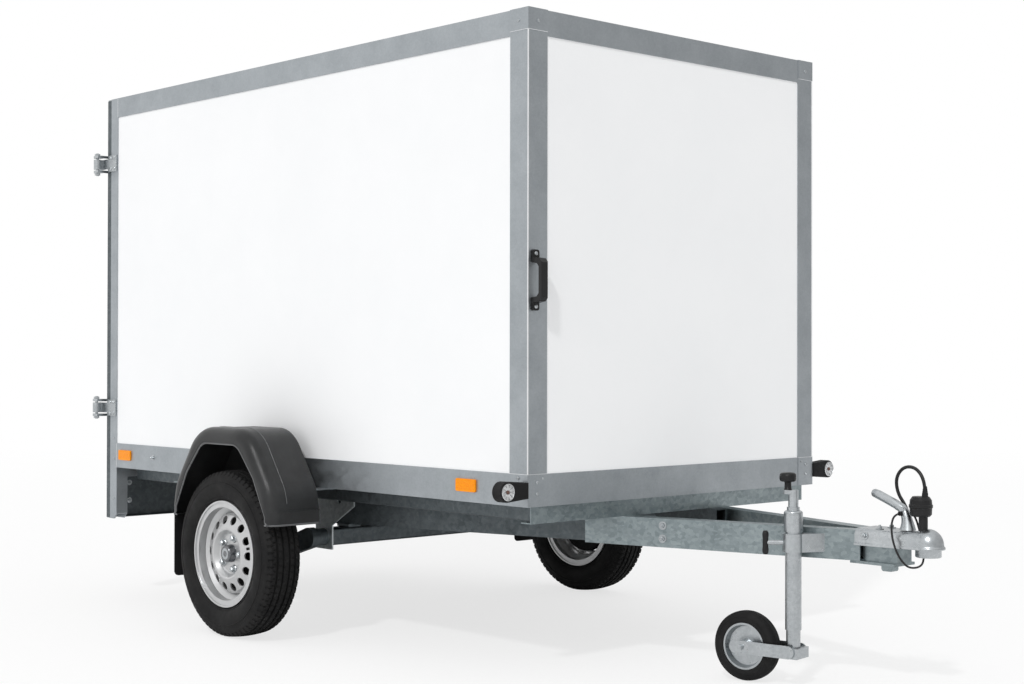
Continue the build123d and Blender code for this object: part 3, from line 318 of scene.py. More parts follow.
def wheel_paint():
    """Silver paint with fine flakes under a clear coat."""
    material, tree, bsdf = shader("silver_paint", (0.56, 0.565, 0.57), 0.34, 0.75)
    bsdf.inputs["Coat Weight"].default_value = 0.4
    bsdf.inputs["Coat Roughness"].default_value = 0.18
    where = coordinates(tree)
    flakes = ramp(tree, noise(tree, where, 1400.0, 2.0), (0.3, (0.47, 0.475, 0.48)), (0.7, (0.65, 0.655, 0.66)))
    clouds = ramp(tree, noise(tree, where, 14.0, 5.0), (0.3, (0.51, 0.515, 0.52)), (0.7, (0.61, 0.615, 0.62)))
    rough = spread(tree, noise(tree, where, 30.0, 4.0), 0.3, 0.42)
    coated(tree, bsdf, mixed(tree, 0.5, flakes, clouds), rough)
    bump(tree, bsdf, noise(tree, where, 260.0, 2.0), 0.04, 0.0004)
    return material


def dusty_rubber():
    """Matt tyre rubber with a little road dust."""
    material, tree, bsdf = shader("tyre_rubber", (0.014, 0.014, 0.015), 0.7)
    bsdf.inputs["Specular IOR Level"].default_value = 0.14
    where = coordinates(tree)
    clouds = noise(tree, where, 9.0, 8.0, 0.7)
    dust = ramp(tree, clouds, (0.35, (0.010, 0.010, 0.0105)), (0.8, (0.023, 0.0225, 0.022)))
    coated(tree, bsdf, dust, spread(tree, noise(tree, where, 24.0, 5.0), 0.56, 0.78))
    bump(tree, bsdf, noise(tree, where, 420.0, 4.0), 0.15, 0.0006)
    return material


def dark_chrome():
    """Smoky plating with uneven polish."""
    material, tree, bsdf = shader("cap_chrome", (0.16, 0.165, 0.175), 0.18, 1.0)
    where = coordinates(tree)
    tone = ramp(tree, noise(tree, where, 60.0, 5.0), (0.3, (0.12, 0.125, 0.135)), (0.7, (0.24, 0.245, 0.255)))
    coated(tree, bsdf, tone, spread(tree, noise(tree, where, 90.0, 4.0), 0.12, 0.3))
    return material


profile_zinc = zinc("profile_zinc", (0.335, 0.362, 0.383), (0.455, 0.485, 0.508), 210.0, (0.42, 0.56),
                    cell_strength=0.3)
beam_zinc = zinc("beam_zinc", (0.175, 0.212, 0.224), (0.36, 0.41, 0.422), 78.0, (0.32, 0.48),
                 (1, 1, 1.4), cell_strength=0.6)
plated_zinc = zinc("plated_zinc", (0.36, 0.385, 0.40), (0.56, 0.585, 0.60), 150.0, (0.24, 0.38),
                   cell_strength=0.4)
# A lighter copy of the zinc for the axle brackets: painted light on parts that sit in the body's shadow
painted_light_zinc = zinc("painted_light_zinc", (0.42, 0.46, 0.47), (0.72, 0.75, 0.76), 90.0, (0.35, 0.5),
                    cell_strength=0.6)
# A darker copy of the zinc with painted shade, for the light board, the parts under the body, the floor bearers
# and the strips behind the rear posts
shadow_zinc = zinc("shadow_zinc", (0.085, 0.10, 0.108), (0.16, 0.18, 0.19), 90.0, (0.4, 0.6))
# Very light zinc: painted highlight on the edges, seams and joints of the box
highlight_zinc = zinc("highlight_zinc", (0.78, 0.79, 0.80), (0.90, 0.91, 0.92), 150.0, (0.3, 0.4), cell_strength=0.3)
clear = zinc("clear_facets", (0.50, 0.51, 0.52), (0.72, 0.73, 0.74), 600.0, (0.16, 0.26), cell_strength=0.3)
guard_plastic = moulded("guard_plastic", (0.015, 0.0155, 0.016), (0.30, 0.40), 1100.0, 0.0003, 0.3)
# A lighter copy of the guard plastic: painted highlight on the lips and crease
guard_highlight_plastic = moulded("guard_highlight_plastic", (0.075, 0.077, 0.08), (0.25, 0.35), 1100.0, 0.0002, 0.6)
black_plastic = moulded("black_plastic", (0.0085, 0.0085, 0.009), (0.30, 0.44), 900.0, 0.0003, 0.25)
black_rubber = moulded("black_rubber", (0.009, 0.009, 0.0095), (0.62, 0.8), 600.0, 0.0004, 0.2)
cord_rubber = moulded("cord_rubber", (0.007, 0.007, 0.0075), (0.30, 0.42), 1500.0, 0.0002, 0.35)
# Near-black for the disc inside the rim: painted shade
painted_shade_black = moulded("painted_shade_black", (0.010, 0.010, 0.010), (0.7, 0.85), 500.0, 0.0005, 0.2)
amber = lens("amber_prisms", (1.0, 0.40, 0.004), (0.95, 0.25, 0.0), 310.0)
red = lens("red_prisms", (0.55, 0.012, 0.012), (0.30, 0.003, 0.003), 240.0)
bulb = lens("lamp_bulb", (0.20, 0.12, 0.095), (0.10, 0.05, 0.04), 700.0)
white_panel = faced_board()
floor_board = plywood()
silver_paint = wheel_paint()
tyre_rubber = dusty_rubber()
cap_chrome = dark_chrome()

FINISHES = {
    profile_zinc: ["front_posts", "top_rails", "bottom_rails", "corner_caps", "rear_posts", "rear_crossbars",
                   "door_right_frame", "door_left_frame"],
    beam_zinc: ["drawbar_front_arms", "cross_members", "coupling_nose"],
    plated_zinc: ["door_hinge_plates", "door_right_hinges", "door_left_hinges", "lock_bar_right", "lock_bar_left",
                  "coupling_body", "coupling_handle", "jockey_tube", "jockey_crank", "jockey_clamp",
                  "jockey_leg", "jockey_fork", "jockey_rim", "hub_right", "hub_left", "mudguard_stays"],
    painted_light_zinc: ["axle_brackets"],
    shadow_zinc: ["light_board", "drawbar_rear_arms", "axle_tube", "axle_saddles", "swing_arms"],
    white_panel: ["wall_left", "wall_right", "wall_front", "roof", "door_right_panel", "door_left_panel"],
    floor_board: ["floor"],
    guard_plastic: ["mudguards"],
    black_plastic: ["grab_handle", "jockey_knob", "plug", "plug_holder", "tail_lamps"],
    black_rubber: ["mud_flaps", "marker_arms"],
    cord_rubber: ["lead", "safety_cable"],
    tyre_rubber: ["tyre_right", "tyre_left", "jockey_tyre"],
    silver_paint: ["rim_right", "rim_left"],
    amber: ["side_reflectors"],
    clear: ["marker_lenses"],
    red: ["marker_lenses_rear", "tail_lenses"],
}
for material, names in FINISHES.items():
    for name in names:
        for material_slot in nodes[name].material_slots:
            material_slot.material = material

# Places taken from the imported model
front, side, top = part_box("front_posts")[1]
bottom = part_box("bottom_rails")[0].z
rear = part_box("rear_posts")[0].x
post_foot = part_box("rear_posts")[0].z
HINGE_HALF = 0.033
hinge_heights = (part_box("door_hinge_plates")[0].z + HINGE_HALF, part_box("door_hinge_plates")[1].z - HINGE_HALF)
SIDES = (("right", -1), ("left", 1))

# Lead and safety cable on the coupling, from the top of the drawbar's tip
coupling = Vector((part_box("coupling_body")[0].x + 0.012, 0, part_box("coupling_body")[1].z - 0.009))
LEAD_POINTS = [
    (0.111, 0.035, 0), (0.111, 0.035, 0.034), (0.100, 0.033, 0.067), (0.075, 0.028, 0.103),
    (0.075, 0.020, 0.1495), (0.108, 0.012, 0.183), (0.156, 0.004, 0.182), (0.187, 0, 0.144), (0.187, 0, 0.106),
]
CABLE_NEAR = [
    (0.115, -0.014, 0.048), (0.115, -0.040, 0.048), (0.116, -0.062, 0.029), (0.122, -0.071, -0.008),
    (0.133, -0.071, -0.046), (0.145, -0.060, -0.080), (0.155, -0.032, -0.106),
]
CABLE_POINTS = CABLE_NEAR + [(x, -y, z) for x, y, z in reversed(CABLE_NEAR)]
PLUG_BOOT = [
    (0.0088, 0), (0.0086, 0.004), (0.0078, 0.006), (0.0076, 0.010), (0.0070, 0.011), (0.0068, 0.016),
    (0.0062, 0.017), (0.0060, 0.022), (0.0052, 0.024),
]
EXIT_BOOT = [(0.0100, 0), (0.0100, 0.0020), (0.0085, 0.0035), (0.0060, 0.0055), (0.0050, 0.0080)]
CABLE_FERRULE = [(0.0065, -0.005), (0.0065, 0.0070), (0.0055, 0.0085), (0.0034, 0.0090)]


def free_cord(node, offsets, radius):
    """A smooth round cord through the control points of its route, in place of its CAD node."""
    curve = bpy.data.curves.new(f"{node}_line", "CURVE")
    curve.dimensions = "3D"
    spline = curve.splines.new("NURBS")
    spline.points.add(len(offsets) - 1)
    for point, offset in zip(spline.points, offsets):
        point.co = (*(coupling + Vector(offset)), 1)
    spline.order_u = 3
    spline.use_endpoint_u = True
    spline.resolution_u = 12
    curve.bevel_depth = radius
    curve.bevel_resolution = 5
    curve.use_fill_caps = True
    curve.materials.append(cord_rubber)
    obj = placed(f"{node}_line", curve)
    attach(obj, "body")
    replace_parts(obj, node)
    return obj


lead = free_cord("lead", LEAD_POINTS, 0.005)
safety_cable = free_cord("safety_cable", CABLE_POINTS, 0.003)
boots = Shape()
boots.lathe(PLUG_BOOT, coupling + Vector(LEAD_POINTS[-1]), (0, 0, 1), 24)
boots.lathe(EXIT_BOOT, coupling + Vector(LEAD_POINTS[0]), (0, 0, 1), 24)
for end, way in ((CABLE_POINTS[0], -1), (CABLE_POINTS[-1], 1)):
    boots.lathe(CABLE_FERRULE, coupling + Vector(end), (0, way, 0), 20)
boots.piece("cord_boots", black_rubber, "body", 40)

# Road tyres: sections as (half width, radius)
tyre_low, tyre_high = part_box("tyre_right")
WALL_HALF = (tyre_high.y - tyre_low.y) / 2 - 0.0004
TYRE_WALL = [
    (0.047, 0.1652), (0.0568, 0.1652), (0.0568, 0.184), (0.0610, 0.1875), (0.0668, 0.1925), (0.0662, 0.1955),
    (0.0705, 0.2005), (0.0740, 0.2085), (0.0765, 0.2175), (WALL_HALF, 0.228), (0.0765, 0.2385), (0.0751, 0.2445),
    (0.0764, 0.2461), (0.0760, 0.2480), (0.0736, 0.2489), (0.0722, 0.2535), (0.0708, 0.2575), (0.0692, 0.2612),
    (0.0690, 0.2640), (0.0668, 0.2685),
]
TYRE_SHOULDER = [(0.0650, 0.2720), (0.0632, 0.2748), (0.0600, 0.2800), (0.0570, 0.2842)]
CROWN_EDGES = (0.0545, 0.0500)
CROWN_HALF = 0.056
CROWN_DROP = 0.0042              # fall of the tread from its middle to its edge
TREAD_SINK = 0.0002              # keeps the tread inside the CAD tyre
GROOVES = (0.0355, 0.0125)
GROOVE_FLOOR = 0.0036            # half width
GROOVE_MOUTH = 0.0048            # half width
GROOVE_DEPTH = 0.007
RIB_EDGE = 0.0105                # outer edge of a rib from its groove's middle
MIDDLE_RIB = 0.0035
SLOT_FROM = 0.2745               # radius where the shoulder slots begin
SLOT_DEPTH = 0.0055
SIPE_DEPTHS = (0.0045, 0.0025)   # outer ribs, inner ribs
INNER_RIB = 0.018
RIB_PITCH = 0.009                # width over which a sipe moves on by one step
SERRATED = (0.2490, 0.2630)      # radii of the fine serrations on the wall
SERRATION = 0.0005
PITCHES = 74
PITCH_STEPS = 8
FAR_SIDE_SHIFT = 3               # steps


def tyre_outline(radius):
    """Half of the tyre's section, from the bead to the middle of the tread, with the kind of each point."""

    def crown(u, depth=0.0):
        return radius - CROWN_DROP * (u / CROWN_HALF) ** 2 - TREAD_SINK - depth

    outline = [(u, r, "wall") for u, r in TYRE_WALL] + [(u, r, "shoulder") for u, r in TYRE_SHOULDER]
    outline += [(u, crown(u), "shoulder") for u in CROWN_EDGES]
    for groove in GROOVES:
        outline += [(u, crown(u), "rib") for u in (groove + RIB_EDGE, groove + GROOVE_MOUTH)]
        outline += [(u, crown(u, GROOVE_DEPTH), "groove") for u in (groove + GROOVE_FLOOR, groove - GROOVE_FLOOR)]
        outline += [(groove - GROOVE_MOUTH, crown(groove - GROOVE_MOUTH), "rib")]
    return outline + [(MIDDLE_RIB, crown(MIDDLE_RIB), "rib")]


def tyre(name):
    """A road tyre with grooves, sipes, shoulder slots and a ribbed wall, in place of its CAD node."""
    low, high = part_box(f"tyre_{name}")
    centre = (low + high) / 2
    outline = tyre_outline((high.z - low.z) / 2)
    profile = [(-u, r, kind) for u, r, kind in outline] + outline[::-1]
    count = PITCHES * PITCH_STEPS
    verts = []
    for i in range(count):
        a = 2 * math.pi * i / count
        for u, r, kind in profile:
            slant = int(round((u + 0.08) / RIB_PITCH)) if kind == "rib" else 0
            step = (i + slant + (FAR_SIDE_SHIFT if u > 0 else 0)) % PITCH_STEPS
            if kind == "shoulder" and step in (0, 1) and r > SLOT_FROM:
                r -= SLOT_DEPTH
            elif kind == "rib" and step == 0:
                r -= SIPE_DEPTHS[0] if abs(u) > INNER_RIB else SIPE_DEPTHS[1]
            elif kind == "wall" and SERRATED[0] < r < SERRATED[1] and i % 4 < 2:
                u -= math.copysign(SERRATION, u)
            verts.append(Vector((centre.x + r * math.cos(a), centre.y + u, centre.z + r * math.sin(a))))
    faces = []
    n = len(profile)
    for i in range(count):
        j = (i + 1) % count
        for k in range(n):
            m = (k + 1) % n
            faces.append([i * n + k, j * n + k, j * n + m, i * n + m])
    shape = Shape()
    shape.add(verts, faces)
    obj = shape.piece(f"tread_tyre_{name}", tyre_rubber, f"wheel_{name}", 28)
    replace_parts(obj, f"tyre_{name}")


# Wheel centres
DISC_OUT = 0.030                 # wheel disc's face outside the rim's middle
# Section of the dark disc inside the rim: painted shade behind the holes of the wheel disc
SHADE_DISC_SECTION = [
    (0.0365, -0.046), (0.118, -0.046), (0.125, -0.042), (0.127, -0.034), (0.127, -0.020), (0.124, -0.016),
    (0.080, -0.014), (0.0365, -0.014), (0.0365, -0.046),
]
STUDS = 5
STUD_CIRCLE = 0.056
STUD_SEAT = [(0, 0.0), (0.0145, 0.0), (0.0150, 0.0015), (0.0122, 0.0045), (0, 0.0045)]
STUD_END = [(0.0098, 0.012), (0.0098, 0.0135), (0.0078, 0.0158), (0.0035, 0.0168), (0, 0.0168)]
VALVE_PLACE = (0.140, 0.036, 0.030)
VALVE = [
    (0, -0.006), (0.0075, -0.004), (0.0080, 0.002), (0.0055, 0.006), (0.0045, 0.012), (0.0042, 0.016),
    (0.0050, 0.0165), (0.0050, 0.0215), (0.0042, 0.0225), (0, 0.0225),
]


def wheel_centre(name, sign):
    """Dark disc of painted shade inside the rim, dust cap, bolts and valve of one road wheel."""
    hub_low, hub_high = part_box(f"hub_{name}")
    centre = sum(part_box(f"rim_{name}"), Vector()) / 2
    out = Vector((0, sign, 0))
    disc = centre + DISC_OUT * out
    body = f"wheel_{name}"
    shade_backing = Shape()
    shade_backing.lathe(SHADE_DISC_SECTION, disc, out, 64)
    shade_backing.piece(f"painted_shade_disc_{name}", painted_shade_black, body, 35)
    reach = abs((hub_high.y if sign > 0 else hub_low.y) - disc.y)
    cap = Shape()
    cap.lathe(
        [(0.0312, 0.0), (0.0312, 0.004), (0.0300, 0.006), (0.0296, reach - 0.008), (0.0275, reach - 0.002),
         (0.0240, reach + 0.0006), (0.0200, reach + 0.0006), (0.0190, reach - 0.0008), (0.0110, reach - 0.0008),
         (0.0100, reach + 0.0006), (0, reach + 0.0008)],
        disc, out, 40)
    cap.piece(f"dust_cap_{name}", cap_chrome, body, 40)
    studs = Shape()
    for k in range(STUDS):
        a = 2 * math.pi * k / STUDS
        place = disc + STUD_CIRCLE * Vector((math.cos(a), 0, math.sin(a)))
        studs.lathe(STUD_SEAT, place, out, 20)
        studs.lathe(STUD_END, place, out, 6)
    studs.piece(f"wheel_bolts_{name}", plated_zinc, body, 30)
    along, aside, up = VALVE_PLACE
    valve = Shape()
    valve.lathe(VALVE, centre + Vector((along, sign * aside, up)), (-0.35, sign, -0.1), 16)
    valve.piece(f"valve_{name}", black_rubber, body, 40)


for name, sign in SIDES:
    tyre(name)
for name, sign in SIDES:
    wheel_centre(name, sign)

# Rivets and bolts of the box
CAP_PROUD = 0.0015               # corner caps outside the posts
PLATE_PROUD = 0.006              # hinge plates outside the posts
rivets = Shape()
bolts = Shape()
for sign in (-1, 1):
    out = (0, sign, 0)
    for inset, z in ((0.0405, top - 0.0362), (0.038, bottom + 0.073), (0.038, bottom + 0.0396)):
        rivets.rivet((front + CAP_PROUD, sign * (side - inset), z), (1, 0, 0), 0.0058)
    rivets.rivet((front + CAP_PROUD, sign * (side - 0.0624), bottom + 0.0844), (1, 0, 0), 0.0045)
    for back, z in ((0.0421, top - 0.0357), (0.040, bottom + 0.0865)):
        rivets.rivet((front - back, sign * (side + CAP_PROUD), z), out, 0.0055)
    for up in (0.082, 0.242, 0.327):
        rivets.rivet((rear + 0.060, sign * side, post_foot + up), out, 0.0045)
    bolts.bolt((rear + 0.3684, sign * side, bottom + 0.052), out, 0.0105, 0.004)
    for up in (0.138, 0.065):
        bolts.bolt((rear + 0.003, sign * (side - 0.105), post_foot + up), (1, 0, 0), 0.0105, 0.008)
    for height in hinge_heights:
        for x, z in ((0.036, 0.022), (0.036, -0.022), (0.064, 0.022), (0.064, -0.022)):
            bolts.dome((rear + x, sign * (side + PLATE_PROUD), height + z), out, 0.0075)
rivets.piece("box_rivets", plated_zinc, "body", 30)
bolts.piece("box_bolts", plated_zinc, "body", 30)

# Edges and seams of the posts, caps and rails as light beads of painted highlight, and the strips behind the rear
# posts in the darker zinc with painted shade
POST_FACE = 0.080
RAIL_JOINT = rear + 0.084
RAIL_HEIGHT = 0.078
CAP_LOW = bottom + 0.098
CAP_HIGH = top - 0.065
SEAM_R = 0.0011
JOINT_R = 0.0010
POST_EDGE = [(0, bottom + 0.001), (0.0024, bottom + 0.002), (0.0024, top - 0.002), (0, top - 0.001)]
edges = Shape()
strips = Shape()
for sign in (-1, 1):
    edges.lathe(POST_EDGE, (front - 0.0010, sign * (side - 0.0010), 0), (0, 0, 1), 14)
    for z in (CAP_LOW, CAP_HIGH):
        across = [(front + 0.0006, sign * y, z) for y in (side, side - POST_FACE)]
        along = [(x, sign * (side + 0.0006), z) for x in (front, front - POST_FACE)]
        edges.tube(across, [SEAM_R] * 2, 8)
        edges.tube(along, [SEAM_R] * 2, 8)
    for heights in ((bottom + 0.001, CAP_LOW), (top - RAIL_HEIGHT, top - 0.003)):
        edges.tube([(RAIL_JOINT, sign * (side + 0.0002), z) for z in heights], [JOINT_R] * 2, 8)
    # Dark strips in the steps of the rear posts, in the darker zinc: painted shade
    inner, outer = sorted((sign * (side - 0.0045), sign * (side - 0.0016)))
    strips.slab((rear + 0.0005, inner, post_foot + 0.002), (rear + 0.030, outer, top - 0.004), 0.0008)
edges.piece("post_edge_highlights", highlight_zinc, "body", 40)
strips.piece("rear_post_strips", shadow_zinc, "body", 30)

# Bearers under the floor's long edges, in the darker zinc with painted shade
bearers = Shape()
for sign in (-1, 1):
    inner, outer = sorted((sign * (side - 0.110), sign * (side - 0.077)))
    bearers.slab((rear + 0.110, inner, bottom - 0.050), (front - 0.055, outer, bottom - 0.001), 0.003)
bearers.piece("floor_bearers", shadow_zinc, "body", 30)

# Bolts of the drawbar
ARM_SLOPE = 0.278228             # sideways run of an arm for each unit of its length
ARM_BOLTS = front + 0.117
SHELL_HALF = 0.0620              # coupling shell's half width at its back
arms_low, arms_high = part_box("drawbar_front_arms")
arm_outside = arms_high.y - ARM_SLOPE * (ARM_BOLTS - arms_low.x)
fixings = Shape()
for sign in (-1, 1):
    out = Vector((ARM_SLOPE, sign, 0)).normalized()
    for down in (0.022, 0.063):
        fixings.bolt((ARM_BOLTS, sign * arm_outside, arms_high.z - down), out, 0.0125, 0.006)
    fixings.bolt(coupling + Vector((0.022, sign * SHELL_HALF, -0.019)), (0, sign, 0), 0.0125, 0.005)
    fixings.bolt(coupling + Vector((0.054, sign * 0.030, 0)), (0, 0, 1), 0.0115, 0.004)
fixings.piece("drawbar_bolts", plated_zinc, "body", 30)

# Pressed shell of the coupling with its ball dome
SHELL_DEPTH = 0.049              # top of the drawbar down to the shell's rim
DOME_R = 0.0440
DOME_FOOT = 0.011
CORNER_STEPS = 8
DOME_STEPS = 12
# Distance along, half width, rise of the crown, and its corners' radii across and down
SHELL_STATIONS = [
    (0.000, SHELL_HALF, 0.0000, 0.017, 0.017), (0.004, SHELL_HALF, 0.0000, 0.017, 0.017),
    (0.040, SHELL_HALF, 0.0000, 0.017, 0.017), (0.075, 0.0590, -0.0005, 0.018, 0.018),
    (0.110, 0.0545, -0.0020, 0.021, 0.021), (0.140, 0.0508, -0.0025, 0.026, 0.025),
    (0.165, 0.0478, -0.0008, 0.033, 0.030), (0.187, 0.0454, 0.0035, 0.040, 0.037),
    (0.2095, 0.0437, 0.0085, 0.0437, 0.0465),
]
shell_low, shell_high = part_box("coupling_body")
rim_z = coupling.z - SHELL_DEPTH


def shell_section(half, lift, across, down):
    """One cross section of the shell as (y, height) round its sheet, with a rolled rim."""
    height = SHELL_DEPTH + lift
    outside = [(half + 0.004, 0), (half + 0.0042, 0.003), (half + 0.0035, 0.006), (half + 0.0012, 0.0075),
               (half, 0.011)]
    for k in range(CORNER_STEPS + 1):
        a = math.pi / 2 * k / CORNER_STEPS
        outside.append((half - across * (1 - math.cos(a)), height - down * (1 - math.sin(a))))
    inside = [(half - 0.004, 0), (half - 0.004, height - down - 0.002),
              (half - 0.7 * across, height - 0.4 * down - 0.005)]
    return (outside + [(-y, z) for y, z in reversed(outside)]
            + [(-y, z) for y, z in inside] + inside[::-1])


def shell_dome():
    """Section of the ball dome, from the top of its socket round the rim to its crest."""
    foot = shell_low.z - rim_z
    crest = shell_high.z - rim_z
    section = [(0, 0.0300), (0.012, 0.0270), (0.021, 0.0190), (0.0255, 0.0080), (0.0258, foot), (0.0350, foot),
               (0.0370, foot + 0.002), (0.0370, 0), (0.0475, 0), (0.0480, 0.003), (0.0475, 0.006),
               (0.0455, 0.0075), (DOME_R, DOME_FOOT)]
    for k in range(1, DOME_STEPS):
        a = math.pi / 2 * k / DOME_STEPS
        section.append((DOME_R * math.cos(a), DOME_FOOT + (crest - DOME_FOOT) * math.sin(a)))
    return section + [(0, crest)]


shell = Shape()
sections = [shell_section(*sizes) for _, *sizes in SHELL_STATIONS]
shell.add(
    [Vector((shell_low.x + station[0], y, rim_z + z))
     for station, section in zip(SHELL_STATIONS, sections) for y, z in section],
    [face[::-1] for face in closed_bands(len(sections[0]), len(sections))])
shell.lathe(shell_dome(), (shell_high.x - 0.048, 0, rim_z), (0, 0, 1), 48)
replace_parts(shell.piece("coupling_shell", plated_zinc, "body", 50), "coupling_body")

# Coupling lever: distance along, height and radius
LEVER_LINE = [
    (0.0085, 0.1030, 0.0050), (0.0100, 0.1026, 0.0092), (0.0145, 0.1013, 0.0122), (0.030, 0.0965, 0.0133),
    (0.060, 0.0845, 0.0131), (0.088, 0.0730, 0.0133), (0.108, 0.0630, 0.0138), (0.119, 0.0510, 0.0140),
    (0.125, 0.0360, 0.0150), (0.128, 0.0220, 0.0175), (0.129, 0.0100, 0.0210), (0.129, 0.0010, 0.0240),
]
LEVER_PIN = [(0, 0), (0.0070, 0), (0.0078, 0.0012), (0.0070, 0.0030), (0, 0.0034)]
lever = Shape()
lever.tube([coupling + Vector((x, 0, z)) for x, z, _ in LEVER_LINE], [r for _, _, r in LEVER_LINE], 24)
lever.lathe(LEVER_PIN, coupling + Vector((0.119, -0.0120, 0.060)), (0, -1, 0), 20)
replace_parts(lever.piece("coupling_lever", plated_zinc, "body", 50), "coupling_handle")

# Jockey stand: knob, clamp grip, castor nuts and castor tyre
KNOB_HEAD = 0.028                # height of the knob's head
KNOB_STEM = [(0, 0), (0.0125, 0), (0.0125, 0.002), (0.0105, 0.004)]
KNOB_TOP = [
    (0.0100, -0.003), (0.0120, 0), (0.0195, 0.0005), (0.0235, 0.003), (0.0250, 0.008), (0.0250, 0.017),
    (0.0238, 0.0225), (0.0200, 0.0262), (0.0120, 0.0278), (0, KNOB_HEAD),
]
GRIP_END = [(0, -0.0015), (0.0060, -0.001), (0.0088, 0.004), (0.0095, 0.012), (0.0085, 0.022)]
GRIP_R = 0.006                   # radius of the clamp's cross bar
FORK_HALF = 0.0395               # castor nuts' seats from the wheel's middle
CASTOR_HALF = [
    (0.0700, 0.0240), (0.0712, 0.0272), (0.0745, 0.0286), (0.0800, 0.0289), (0.0848, 0.0286), (0.0856, 0.0276),
    (0.0872, 0.0276), (0.0880, 0.0282), (0.0935, 0.0268), (0.0985, 0.0238), (0.1018, 0.0200), (0.1034, 0.0160),
    (0.1042, 0.0110), (0.1030, 0.0104), (0.1030, 0.0086), (0.1044, 0.0080), (0.1048, 0.0030),
]
knob_low, knob_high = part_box("jockey_knob")
knob_foot = ((knob_low.x + knob_high.x) / 2, (knob_low.y + knob_high.y) / 2, knob_low.z)
head = knob_high.z - knob_low.z - KNOB_HEAD
knob = Shape()
knob.lathe(KNOB_STEM + [(r, head + z) for r, z in KNOB_TOP], knob_foot, (0, 0, 1), 36)
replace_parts(knob.piece("jockey_turn_knob", black_plastic, "body", 60), "jockey_knob")

clamp_low, clamp_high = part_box("jockey_clamp")
grip = Shape()
grip.lathe(
    [(r, clamp_low.z + z) for r, z in GRIP_END] + [(r, clamp_high.z - z) for r, z in reversed(GRIP_END)],
    (clamp_low.x + GRIP_R, clamp_low.y + GRIP_R, 0), (0, 0, 1), 20)
grip.piece("jockey_clamp_grip", black_plastic, "body", 60)

castor_joint = next(j for j in frame["record"]["behaviour"]["joints"] if j["name"] == "jockey_wheel_spin")
hub = Vector(castor_joint["pos_m"])
spin = Vector(castor_joint["axis"])
castor = Shape()
for way in (-1, 1):
    castor.bolt(hub + way * FORK_HALF * spin, way * spin, 0.0130, 0.004)
castor.piece("castor_axle_nuts", plated_zinc, "jockey_castor", 30)
castor_section = [(r, -u) for r, u in CASTOR_HALF] + CASTOR_HALF[::-1]
castor_tyre = Shape()
castor_tyre.lathe(castor_section + castor_section[:1], hub, spin, 96)
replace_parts(castor_tyre.piece("castor_tread", tyre_rubber, "jockey_wheel", 30), "jockey_tyre")

# Grab handle screws
handle_low, handle_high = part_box("grab_handle")
screws = Shape()
for z in (handle_low.z + 0.012, handle_high.z - 0.012):
    screws.dome((front + 0.009, (handle_low.y + handle_high.y) / 2, z), (1, 0, 0), 0.0065)
screws.piece("handle_screws", plated_zinc, "body", 30)

# Marker lamps: facetted lenses round a bulb
MARKER_LAMPS = (("marker_lenses", 1, clear, "clear_lens"), ("marker_lenses_rear", -1, red, "red_lens"))
PETALS = 20
LENS_R = 0.0260
# Radius, and height of the low and the high petals there
LENS_RINGS = (
    (LENS_R, 0, 0), (LENS_R, 0.0030, 0.0030), (0.0235, 0.0042, 0.0042), (0.0225, 0.0018, 0.0034),
    (0.0140, 0.0012, 0.0046), (0.0062, 0.0006, 0.0022),
)
BULB = [(0.0064, 0.0004), (0.0058, 0.0030), (0.0035, 0.0046), (0, 0.0049)]
for node, way, material, slot in MARKER_LAMPS:
    low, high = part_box(node)
    glass = Shape()
    bulbs = Shape()
    for sign in (-1, 1):
        foot = Vector((low.x if way > 0 else high.x, sign * (high.y - LENS_R), (low.z + high.z) / 2))
        verts = []
        for radius, *heights in LENS_RINGS:
            for k in range(PETALS):
                a = 2 * math.pi * k / PETALS
                petal = Vector((way * heights[k % 2], way * radius * math.cos(a), radius * math.sin(a)))
                verts.append(foot + petal)
        glass.add(verts, bands(PETALS, len(LENS_RINGS)))
        bulbs.lathe(BULB, foot, (way, 0, 0), 16)
    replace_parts(glass.piece(f"{node}_facets", material, "body", 4), node)
    bulbs.piece(f"{node}_bulbs", bulb, "body", 20)

# Tail lamps: chambers from the outer end inwards, with ribs across them
CHAMBERS = (
    ("indicator", 0.0, 0.062, amber, "amber_lens"),
    ("stop", 0.063, 0.137, red, "red_lens"),
    ("tail", 0.138, 0.200, red, "red_lens"),
)
LENS_RIBS = 9
FIRST_RIB = 0.015                # above the lens's foot
RIB_SPACING = 0.010
RIB_HALF = 0.0028
RIB_INSET = 0.006
RIB_PROUD = 0.0012
low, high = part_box("tail_lenses")
for name, near, far, material, slot in CHAMBERS:
    chamber = Shape()
    for sign in (-1, 1):
        inner, outer = sorted((sign * (high.y - near), sign * (high.y - far)))
        chamber.slab((low.x, inner, low.z), (high.x, outer, high.z), 0.005)
        for k in range(LENS_RIBS):
            z = low.z + FIRST_RIB + RIB_SPACING * k
            rib_low = (low.x - RIB_PROUD, inner + RIB_INSET, z - RIB_HALF)
            rib_high = (low.x + 0.002, outer - RIB_INSET, z + RIB_HALF)
            chamber.slab(rib_low, rib_high, RIB_PROUD)
    obj = chamber.piece(f"tail_{name}_lens", material, "body", 30)
    if name == "stop":
        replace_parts(obj, "tail_lenses")

